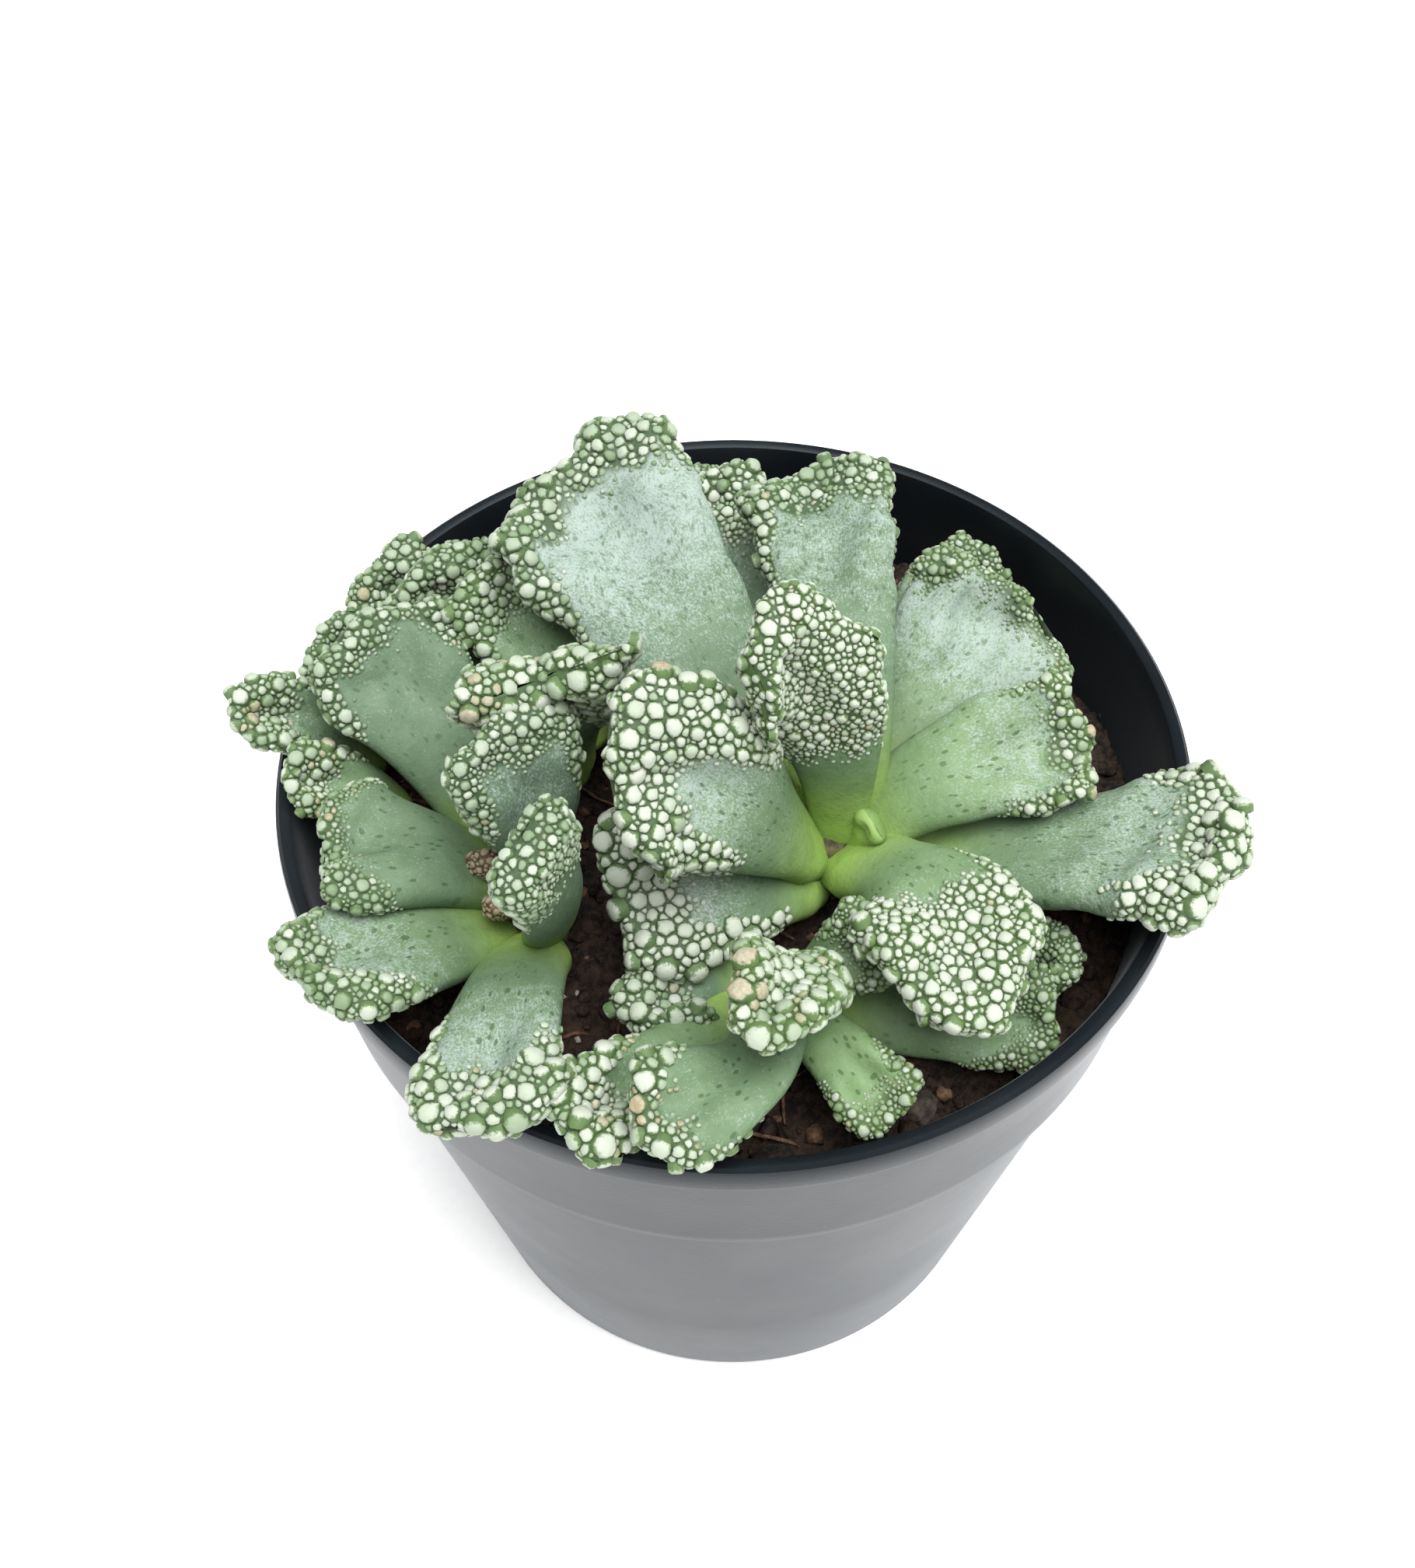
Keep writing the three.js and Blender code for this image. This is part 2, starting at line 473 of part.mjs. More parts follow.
// The leaves are set from the top of each head downward. A lower leaf gives way at its base to the stem and to the
// leaves above it.
const order = LEAVES.map((leaf, i) => ({ leaf, i })).sort((p, q) => q.leaf.pts[0][2] - p.leaf.pts[0][2]);
const placed = [];
const bud = (row, seed) => leafSolid({ bare: 2, hollow: 0.3, ...row }, seed);
const young = NEW_LEAVES.map((row, i) => {
  let body = bud(row, 920 + i);
  for (const { room } of stems) body = body.subtract(room);
  return { name: row.name, body: largest(body), room: leafRoom(row) };
});
for (const { leaf, i } of order) {
  let body = leafSolid(leaf, 500 + 7 * i);
  for (const { room } of stems) body = body.subtract(room);
  for (const other of [...young, ...placed]) {
    if (body.intersect(other.room).volume() > 0.05) body = body.subtract(other.room);
    if (body.intersect(other.body).volume() > 0.004) body = body.subtract(other.body);
  }
  body = largest(body.simplify(0.06));
  placed.push({ leaf, i, body, room: leafRoom(leaf) });
}
placed.sort((p, q) => p.i - q.i);

let dried = Manifold.union(DRIED.map((row, i) => bud(row, 900 + i)));
for (const { room } of [...stems, ...placed]) if (dried.intersect(room).volume() > 0) dried = dried.subtract(room);
for (const { body } of placed) if (dried.intersect(body).volume() > 0.004) dried = dried.subtract(body);
dried = largest(dried.simplify(0.04));

const grains = GRAINS.map((grain, i) => ({ name: grain.name, body: grainBody(grain, 0, 60 + i), room: grainBody(grain, CLEAR, 60 + i) }));
let soil = soilSolid();
for (const { room } of stems) soil = soil.subtract(room);
for (const { room } of grains) soil = soil.subtract(room);
for (const { room, body } of placed) {
  if (soil.intersect(room).volume() > 0) soil = soil.subtract(room);
  if (soil.intersect(body).volume() > 0.004) soil = soil.subtract(body);
}
soil = largest(soil.simplify(0.06));

nodes.push(['pot', potSolid(), 0x2b2e33]);
nodes.push(['soil', soil, 0x2b1d14]);
for (const { stem, body } of stems) nodes.push([stem.name, body, 0x9bb86a]);
for (const { leaf, body } of placed) nodes.push([leaf.name, body, 0x7f9a70]);
nodes.push(['dried_leaves', dried, 0x7a5a3c]);
for (const { name, body } of young) nodes.push([name, body, 0xb9d37a]);
for (const { name, body } of grains) nodes.push([name, body, 0xcfc8bd]);

const group = new THREE.Group();
group.name = 'potted_concrete_leaf';
for (const [name, body, colour] of nodes) {
  const net = body.getMesh();
  const positions = new Float32Array(net.numVert * 3);
  for (let v = 0; v < net.numVert; v++) {
    for (let k = 0; k < 3; k++) positions[3 * v + k] = net.vertProperties[v * net.numProp + k];
  }
  const geometry = new THREE.BufferGeometry();
  geometry.setAttribute('position', new THREE.BufferAttribute(positions, 3));
  geometry.setIndex(new THREE.BufferAttribute(new Uint32Array(net.triVerts), 1));
  geometry.computeVertexNormals();
  const mesh = new THREE.Mesh(geometry, new THREE.MeshStandardMaterial({ color: colour }));
  mesh.name = name;
  group.add(mesh);
}

export default group;
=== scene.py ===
import math

import bpy
import numpy as np
from mathutils import Matrix, Vector


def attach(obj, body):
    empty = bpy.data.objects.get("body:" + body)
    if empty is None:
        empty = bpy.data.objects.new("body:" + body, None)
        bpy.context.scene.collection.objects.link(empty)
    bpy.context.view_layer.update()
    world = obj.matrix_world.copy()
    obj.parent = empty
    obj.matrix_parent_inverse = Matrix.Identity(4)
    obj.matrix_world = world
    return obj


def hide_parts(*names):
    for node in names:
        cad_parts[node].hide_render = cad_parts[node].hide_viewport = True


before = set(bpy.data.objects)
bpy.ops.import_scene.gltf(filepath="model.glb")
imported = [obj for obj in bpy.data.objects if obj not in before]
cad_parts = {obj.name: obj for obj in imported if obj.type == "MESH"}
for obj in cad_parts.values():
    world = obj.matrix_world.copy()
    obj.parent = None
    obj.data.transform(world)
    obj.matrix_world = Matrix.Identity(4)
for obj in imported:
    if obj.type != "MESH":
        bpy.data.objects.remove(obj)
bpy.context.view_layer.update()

# Lengths below are millimetres, +Z is up and the origin is the middle of the pot's underside, as in the
# part.
MM = 0.001

# The pot
RIM_RADIUS = 38.0
POT_HEIGHT = 66.6
FOOT_RADIUS = 27.1
POT_SIDES = 160
DRAIN_HOLES = 6
DRAIN_RADIUS = 3.0
DRAIN_CIRCLE = 19.0
DRAIN_SIDES = 32

# The soil inside it
SOIL_RADIUS = 35.0
SOIL_SQUARES = 170
CRUMBS = 1500
CRUMB_RADIUS = 34.0
FIBRES = 46
FIBRE_STEPS = 9
FIBRE_SIDES = 5

# The blades: from which tip width on a leaf has the wide net, and the sides and rows of both nets
WIDE_LEAF = 9.5
WIDE_NET = (56, 46)
NARROW_NET = (40, 34)
END_ROWS = 9

# The warts: how many places are tried on a leaf, the smallest radius and the groove between two of them
WART_PLACES = 15000
SMALLEST_WART = 0.17
GROOVE = 0.07

# How far each colour read off the plant is turned down, because the light on it is stronger than one. The
# necks stand in the shade of the leaves, so theirs is turned down less.
LIGHT_SHARE = 0.46
NECK_SHARE = 0.62


# The leaves, as in the part. base, bend and tip lead the middle line; neck and tip_width are the widths
# of the blade and of the tip; flare and full are where it starts to widen and where it is widest; face
# is where the upper side looks at the tip (turn from +X, rise). curl rolls the two corners up, bow
# rounds the end line and skew slants it. corner rounds the corners, pointed draws the tip to one point,
# and taper is the share of the length in which both happen. hollow is how far the middle of the upper
# side sinks in. rims says where the warts start on the left and on the right margin, bare how far the
# smooth throat reaches and open_half how wide it is. big is the radius of the largest warts, white how
# pale they are, bloom how frosted the blade is, fresh how bright a green shows under the frost, dots how
# clear its dark dots are, and tan how many warts have turned brown. A leaf with big=0 is a young one
# without warts.
def leaf(name, base, bend, tip, neck, tip_width, face, curl=(0, 0), bow=0.25, skew=0.0, corner=0.16,
         pointed=0.0, taper=0.16, flare=0.15, full=1.0, hollow=1.2, rims=(0.64, 0.64), bare=0.8,
         open_half=0.75, big=0.85, white=0.8, bloom=0.8, fresh=0.4, dots=0.4, tan=0.006):
    return dict(name=name, line=(base, bend, tip), neck=neck, tip_width=tip_width, face=face, curl=curl,
                bow=bow, skew=skew, corner=corner, pointed=pointed, taper=taper, flare=flare, full=full,
                hollow=hollow, rims=rims, bare=bare, open_half=open_half, big=big, white=white,
                bloom=bloom, fresh=fresh, dots=dots, tan=tan)


LEAVES = [
    leaf("leaf_a1", (6, -5, 62), (-1, -1, 79), (-15, 20, 80), 8, 21.5, (-80, 52), curl=(0.3, 0.1),
         bow=0.4, skew=-0.2, rims=(0.62, 0.84), bare=0.86, big=0.85, white=0.75, bloom=1.1, fresh=0.35,
         dots=0.5),
    leaf("leaf_a2", (9, -5, 62), (10, -5, 80), (6.5, 22.5, 77), 6.5, 14, (-95, 40), curl=(0.2, 0),
         bow=0.3, rims=(0.66, 0.86), bare=0.85, big=0.75, white=0.65, bloom=0.8, dots=0.5),
    leaf("leaf_a3", (8.5, -6.5, 64.5), (8.5, -5.5, 84), (1.5, -8.5, 89), 5, 12.5, (-110, 50), bow=0.4,
         skew=-0.15, taper=0.3, flare=0.1, full=0.85, rims=(0.4, 0.5), bare=0.45, big=0.64, white=1.05,
         bloom=0.6, fresh=0.7),
    leaf("leaf_a4", (10, -2.5, 60), (14, 5, 66), (25, 13.5, 71), 8, 18.5, (-75, 62), bow=0.3,
         rims=(0.8, 0.8), bare=0.93, big=0.5, white=0.5, bloom=1.05, fresh=0.7, dots=0.5),
    leaf("leaf_a5", (9.5, -5.5, 61.5), (15, -5, 73.5), (28.5, -1.5, 70), 6.5, 13.5, (-110, 60),
         curl=(0.2, 0.5), bow=0.4, rims=(0.8, 0.66), bare=0.87, big=0.66, white=0.75, bloom=0.75,
         fresh=0.9, dots=0.8),
    leaf("leaf_a6", (11.5, -5.5, 60), (21.5, -10.5, 66), (40, -11.5, 72), 7, 19, (100, 78), bow=0.45,
         skew=0.1, rims=(0.8, 0.72), bare=0.84, big=0.95, white=1.05, bloom=0.8, fresh=0.5, dots=0.7),
    leaf("leaf_a7", (9, -7.5, 62), (18, -16.5, 74), (16.5, -27.5, 70), 7, 16.5, (-70, 48), pointed=0.65,
         taper=0.4, flare=0.3, full=0.72, rims=(0.5, 0.5), bare=0.58, big=0.85, white=1.1, bloom=0.7,
         fresh=0.8, dots=0.8),
    leaf("leaf_a8", (11, -5.5, 58), (19, -10.5, 60.5), (26, -20, 62.5), 4.5, 8.5, (-80, 50),
         rims=(0.7, 0.7), bare=0.8, big=0.5, white=0.45, bloom=0.4, fresh=0.5),
    leaf("leaf_a9", (6, -7, 63), (-0.5, -14, 82), (-9, -13.5, 83), 7.5, 18, (-95, 50), bow=0.35,
         skew=-0.25, corner=0.55, rims=(0.52, 0.52), bare=0.8, open_half=0.42, big=0.9, white=1.05,
         bloom=1.0, fresh=0.6, dots=0.7),
    leaf("leaf_a10", (6, -7.5, 60), (-1, -13.5, 69), (-9.5, -15.5, 67.5), 8, 14.5, (-95, 52), flare=0.1,
         full=0.8, rims=(0.3, 0.62), bare=0.72, open_half=0.6, big=1.05, white=1.3, bloom=0.95),
    leaf("leaf_a11", (7, -1, 59), (2, 8, 69), (-2.5, 28.5, 71), 6, 11, (-90, 50), rims=(0.6, 0.6),
         bare=0.76, big=0.8, white=0.85, bloom=0.6, fresh=0.4),
    leaf("leaf_b1", (-19.5, -9, 61), (-23.5, -11, 69), (-32.5, -11.5, 70), 8, 15.5, (60, 75),
         rims=(0.72, 0.72), bare=0.9, big=0.6, white=0.5, bloom=0.25, fresh=0.4, dots=0.9),
    leaf("leaf_b2", (-19, -13.5, 60), (-24.5, -17.5, 67), (-32, -25, 71.5), 7.5, 11.5, (60, 75), flare=0,
         full=0.6, rims=(0.66, 0.66), bare=0.82, big=0.75, white=0.65, bloom=0.8, fresh=0.6, dots=1.0),
    leaf("leaf_b3", (-16, -16, 61), (-17, -24, 70), (-18, -36.5, 70.5), 7, 12.5, (-120, 60), bow=0.35,
         corner=0.35, rims=(0.7, 0.6), bare=0.82, big=0.95, white=0.9, bloom=0.95, fresh=0.5, dots=0.9),
    leaf("leaf_b4", (-15, -15.5, 64), (-12, -21.5, 78), (-15, -22, 85), 5, 9.5, (160, 30),
         rims=(0.6, 0.6), bare=0.7, big=0.65, white=0.65, bloom=0.6, fresh=0.3),
    leaf("leaf_b5", (-16, -8.5, 62), (-14, -13.5, 78), (-18, -9, 82), 6, 12.5, (-60, 50), skew=-0.1,
         rims=(0.6, 0.6), bare=0.85, big=0.66, white=0.65, bloom=0.55, fresh=0.2, dots=0.4),
    leaf("leaf_d1", (-19, -5, 60), (-23, -0.5, 68), (-30.5, 6, 76), 7, 14.5, (-60, 50),
         rims=(0.72, 0.72), bare=0.9, big=0.68, white=0.65, bloom=0.2, fresh=0.3, dots=0.5),
    leaf("leaf_d2", (-15, 1, 62), (-15, -0.5, 73), (-14.5, -6.5, 83.5), 7, 15, (-80, 30), bow=-0.45,
         skew=-0.3, rims=(0.5, 0.5), bare=0.6, big=0.95, white=0.85, bloom=0.6, fresh=0.6, tan=0.03),
    leaf("leaf_d3", (-13, 4.5, 62), (-16, 7.5, 71), (-21, 11.5, 77), 7, 10, (-60, 50), rims=(0.55, 0.55),
         bare=0.72, big=0.8, white=0.65, bloom=0.5, fresh=0.7, tan=0.02),
    leaf("leaf_d4", (-20.5, 4, 60), (-23, 10.5, 68), (-26, 12.5, 76), 6, 12, (-60, 50), rims=(0.6, 0.6),
         bare=0.76, big=0.7, white=0.55, bloom=0.6, fresh=0.3),
    leaf("leaf_d5", (-22.5, 6.5, 60), (-26.5, 15, 66), (-31.5, 16.5, 71.5), 6, 10.5, (-60, 50),
         rims=(0.6, 0.6), bare=0.76, big=0.75, white=0.6, bloom=0.6, fresh=0.4, tan=0.03),
    leaf("leaf_d6", (-31.5, 5, 59), (-35, 2, 72), (-40.5, -1, 72), 5, 6.5, (-60, 60), rims=(0.55, 0.55),
         bare=0.7, big=0.8, white=0.7, bloom=0.6, fresh=0.5, tan=0.02),
    leaf("leaf_d7", (-28.5, -2, 59), (-30.5, -2, 66), (-36, -4.5, 69), 5, 6, (-60, 60),
         rims=(0.55, 0.55), bare=0.7, big=0.75, white=0.7, bloom=0.4, fresh=0.7, tan=0.03),
    leaf("leaf_c1", (2, -19.5, 59), (-4.5, -29, 65.5), (-12, -36, 70), 6, 8, (-120, 50), rims=(0.6, 0.6),
         bare=0.76, big=1.0, white=0.9, bloom=0.4, fresh=0.7, dots=0.6, tan=0.025),
    leaf("leaf_c2", (2.5, -20.5, 60), (4.5, -32, 72), (-6.5, -36.5, 71.5), 6, 9, (-130, 50),
         rims=(0.85, 0.76), bare=0.9, big=0.85, white=0.75, bloom=0.25, fresh=0.5, dots=1.0, tan=0.02),
    leaf("leaf_c3", (4, -19.5, 62), (5.5, -25, 78), (1.5, -32.5, 76), 4.5, 9, (-95, 52), pointed=0.6,
         taper=0.4, flare=0.2, full=0.6, rims=(0.4, 0.4), bare=0.45, big=1.0, white=0.85, bloom=0.5,
         fresh=0.9, tan=0.025),
    leaf("leaf_c4", (5, -20.5, 60), (7.5, -27.5, 67), (12.5, -31.5, 63), 4.5, 7, (-80, 60),
         rims=(0.66, 0.66), bare=0.88, big=0.55, white=0.55, bloom=0.2, fresh=1.0, dots=0.7),
    leaf("leaf_c5", (5.5, -18.5, 61), (8, -20.5, 67), (12, -19.5, 70), 4.5, 8, (-100, 50),
         rims=(0.5, 0.5), bare=0.66, big=0.56, white=0.45, bloom=0.3, fresh=0.8),
    leaf("leaf_c6", (5.5, -18.5, 58), (14.5, -22, 61), (25.5, -22.5, 62), 6, 8.5, (-90, 60),
         rims=(0.7, 0.7), bare=0.86, big=0.56, white=0.45, bloom=0.4, fresh=0.7, dots=0.6),
    leaf("leaf_c7", (1.5, -17.5, 59), (-4.5, -18, 62.5), (-6, -24.5, 64), 5.5, 8.5, (-110, 40),
         rims=(0.45, 0.45), bare=0.6, big=0.85, white=0.7, bloom=0.6, fresh=0.3),
    leaf("leaf_a12", (9.5, 0.5, 58.5), (11.5, 14, 62), (24.5, 23.5, 64), 5.5, 12, (-80, 65),
         rims=(0.78, 0.78), bare=0.88, big=0.5, white=0.5, bloom=0.6, fresh=0.6, dots=0.4),
    leaf("leaf_a13", (7, 1, 58.5), (0.5, 18, 62), (-4, 34.5, 66), 5.5, 11, (-80, 60), rims=(0.6, 0.6),
         bare=0.72, big=0.48, white=0.4, bloom=0.3, fresh=0.4),
    leaf("leaf_d8", (-22, 5, 58.5), (-29.5, 6.5, 66), (-35, 9, 71.5), 5.5, 8, (-50, 50),
         rims=(0.62, 0.62), bare=0.78, big=0.66, white=0.6, bloom=0.6, fresh=0.4),
    leaf("leaf_d9", (-19, 9, 58), (-20, 13.5, 64), (-22.5, 19, 71), 5, 8.5, (-70, 50), rims=(0.62, 0.62),
         bare=0.78, big=0.7, white=0.5, bloom=0.6, fresh=0.4),
]

NEW_LEAVES = [
    leaf("new_leaf_1", (9.8, -7.4, 64.5), (10.6, -7.8, 67), (11.2, -8.8, 69.2), 2.6, 3.2, (-135, 20),
         hollow=0.3, rims=(0.9, 0.9), bare=1.2, big=0.0, white=0.4, bloom=0.0, fresh=1.0),
    leaf("new_leaf_2", (7.4, -5, 65), (6.2, -4.2, 68), (4.6, -3, 71), 2.2, 2.6, (-90, 50), hollow=0.3,
         rims=(0.9, 0.9), bare=1.2, big=0.0, white=0.4, bloom=0.0, fresh=1.0),
]

DRIED = [
    leaf("dried_leaves", (-16, -12.5, 62.5), (-18.5, -11, 66.5), (-20.5, -12, 68.5), 2.6, 3.4, (120, 40),
         hollow=0.5, bare=0.55, big=0.5, white=0.7, bloom=0.2, fresh=0.0, tan=0.5),
    leaf("dried_leaves", (-16, -12.5, 62), (-17.5, -14.5, 66), (-19.5, -15, 66.5), 2.4, 3, (160, 40),
         hollow=0.5, bare=0.55, big=0.5, white=0.7, bloom=0.2, fresh=0.0, tan=0.5),
]

# Stems: foot on the soil, height of the top, radius
STEMS = [
    ("stem_a", (8, -6), 65.5, 2.9),
    ("stem_b", (-16, -12.5), 64.5, 2.6),
    ("stem_c", (3.5, -19.5), 63.0, 2.1),
    ("stem_d", (-18, 2.5), 63.5, 2.6),
]

# Grains: place on the soil, half size along three axes, turn. The first is perlite, the others are
# pebbles.
GRAINS = [
    ("grit_1", (17.5, 26.5), (2.5, 2.0, 2.1), 20),
    ("grit_2", (15, -27.5), (1.5, 1.2, 1.2), 70),
    ("grit_3", (29.5, 8.5), (1.7, 1.3, 1.3), 130),
    ("grit_4", (-9.5, -27), (1.4, 1.6, 1.2), 10),
]


def smooth(low, high, x):
    t = np.clip((np.asarray(x, float) - low) / (high - low), 0, 1)
    return t * t * (3 - 2 * t)


def unit(v):
    return v / np.maximum(np.linalg.norm(v, axis=-1, keepdims=True), 1e-9)


def heading(turn, rise):
    a, e = math.radians(turn), math.radians(rise)
    return np.array([math.cos(e) * math.cos(a), math.cos(e) * math.sin(a), math.sin(e)])


# How high the soil stands over a point
def soil_height(x, y):
    waves = (np.sin(0.23 * x + 0.7) * np.cos(0.19 * y - 0.4) + 0.7 * np.sin(0.47 * x - 0.31 * y + 2.1)
             + 0.45 * np.sin(0.83 * x + 0.61 * y) + 0.4 * np.cos(1.13 * y - 0.57 * x + 1.2))
    return 57.6 + 0.4 * waves - 0.9 * smooth(24, 34, np.hypot(x, y))


# The camera and the light

# Its place, turn and lens, solved from the pot's rim, collar line and foot in the photo
def photo_camera():
    data = bpy.data.cameras.new("photo_camera")
    data.sensor_width = 36
    data.lens = 45.81
    data.clip_start = 0.005
    camera = bpy.data.objects.new("photo_camera", data)
    right = Vector((0.99990, 0.01216, -0.00702))
    up = Vector((-0.00553, 0.80058, 0.59920))
    back = right.cross(up)
    turn = Matrix((right, up, back)).transposed()
    camera.matrix_world = Matrix.Translation(Vector((0, -101.505, 198.183)) * MM) @ turn.to_4x4()
    bpy.context.collection.objects.link(camera)
    bpy.context.scene.camera = camera


# White paper below and behind, a darker room above, and one large soft lamp overhead
def white_sweep():
    scene = bpy.context.scene
    scene.view_settings.view_transform = "Standard"
    world = bpy.data.worlds.new("white_sweep")
    scene.world = world
    world.use_nodes = True
    tree = world.node_tree
    sky = tree.nodes["Background"]
    place = tree.nodes.new("ShaderNodeTexCoord")
    split = tree.nodes.new("ShaderNodeSeparateXYZ")
    band = tree.nodes.new("ShaderNodeValToRGB")
    band.color_ramp.elements[0].position = 0.35
    band.color_ramp.elements[0].color = (1.0, 1.0, 1.0, 1)
    band.color_ramp.elements[1].position = 0.66
    band.color_ramp.elements[1].color = (0.22, 0.23, 0.25, 1)
    tree.links.new(place.outputs["Generated"], split.inputs[0])
    tree.links.new(split.outputs["Z"], band.inputs[0])
    tree.links.new(band.outputs[0], sky.inputs["Color"])
    sky.inputs["Strength"].default_value = 0.78

    lamp = bpy.data.lights.new("overhead_softbox", "SUN")
    lamp.energy = 6.7
    lamp.angle = math.radians(55)
    softbox = bpy.data.objects.new("overhead_softbox", lamp)
    softbox.rotation_euler = (math.radians(10), math.radians(9), 0)
    bpy.context.collection.objects.link(softbox)


# Finishes

# A colour as read off the photo, 0 to 255, turned into the amount of light that the surface gives back
def shade(red, green, blue, share=LIGHT_SHARE):
    def linear(c):
        c /= 255
        return c / 12.92 if c <= 0.04045 else ((c + 0.055) / 1.055) ** 2.4
    return (linear(red) * share, linear(green) * share, linear(blue) * share, 1)


class Finish:
    """A material under construction: each call adds one node and gives back its output."""

    def __init__(self, name):
        self.material = bpy.data.materials.new(name)
        self.material.use_nodes = True
        self.tree = self.material.node_tree
        self.shader = self.tree.nodes["Principled BSDF"]

    def feed(self, socket, value):
        if isinstance(value, bpy.types.NodeSocket):
            self.tree.links.new(value, socket)
        else:
            socket.default_value = value

    def place(self, stretch=None):
        out = self.tree.nodes.new("ShaderNodeTexCoord").outputs["Object"]
        return self.stretched(out, stretch) if stretch else out

    def stretched(self, vector, stretch):
        node = self.tree.nodes.new("ShaderNodeMapping")
        self.feed(node.inputs["Vector"], vector)
        node.inputs["Scale"].default_value = stretch
        return node.outputs[0]

    def value(self, name):
        node = self.tree.nodes.new("ShaderNodeAttribute")
        node.attribute_name = name
        return node.outputs["Fac"]

    def vector(self, name):
        node = self.tree.nodes.new("ShaderNodeAttribute")
        node.attribute_name = name
        return node.outputs["Vector"]

    def noise(self, vector, scale, detail=2.0, roughness=0.5):
        node = self.tree.nodes.new("ShaderNodeTexNoise")
        self.feed(node.inputs["Vector"], vector)
        node.inputs["Scale"].default_value = scale
        node.inputs["Detail"].default_value = detail
        node.inputs["Roughness"].default_value = roughness
        return node.outputs[0]

    def cells(self, vector, scale, randomness=1.0, feature="F1"):
        node = self.tree.nodes.new("ShaderNodeTexVoronoi")
        node.feature = feature
        self.feed(node.inputs["Vector"], vector)
        node.inputs["Scale"].default_value = scale
        node.inputs["Randomness"].default_value = randomness
        return node.outputs["Distance"]

    def between(self, value, low, high, to_low=0.0, to_high=1.0):
        node = self.tree.nodes.new("ShaderNodeMapRange")
        node.interpolation_type = "SMOOTHSTEP"
        for socket, given in zip(node.inputs, (value, low, high, to_low, to_high)):
            self.feed(socket, given)
        return node.outputs[0]

    def maths(self, operation, a, b):
        node = self.tree.nodes.new("ShaderNodeMath")
        node.operation = operation
        self.feed(node.inputs[0], a)
        self.feed(node.inputs[1], b)
        return node.outputs[0]

    def blend(self, factor, a, b, kind="MIX"):
        node = self.tree.nodes.new("ShaderNodeMix")
        node.data_type = "RGBA"
        node.blend_type = kind
        self.feed(node.inputs["Factor"], factor)
        self.feed(node.inputs[6], a)
        self.feed(node.inputs[7], b)
        return node.outputs[2]

    def bump(self, height, depth, strength=1.0, below=None):
        node = self.tree.nodes.new("ShaderNodeBump")
        node.inputs["Strength"].default_value = strength
        node.inputs["Distance"].default_value = depth
        self.feed(node.inputs["Height"], height)
        if below is not None:
            self.feed(node.inputs["Normal"], below)
        return node.outputs[0]

    def set(self, **inputs):
        for name, value in inputs.items():
            self.feed(self.shader.inputs[name.replace("_", " ")], value)
        return self.material


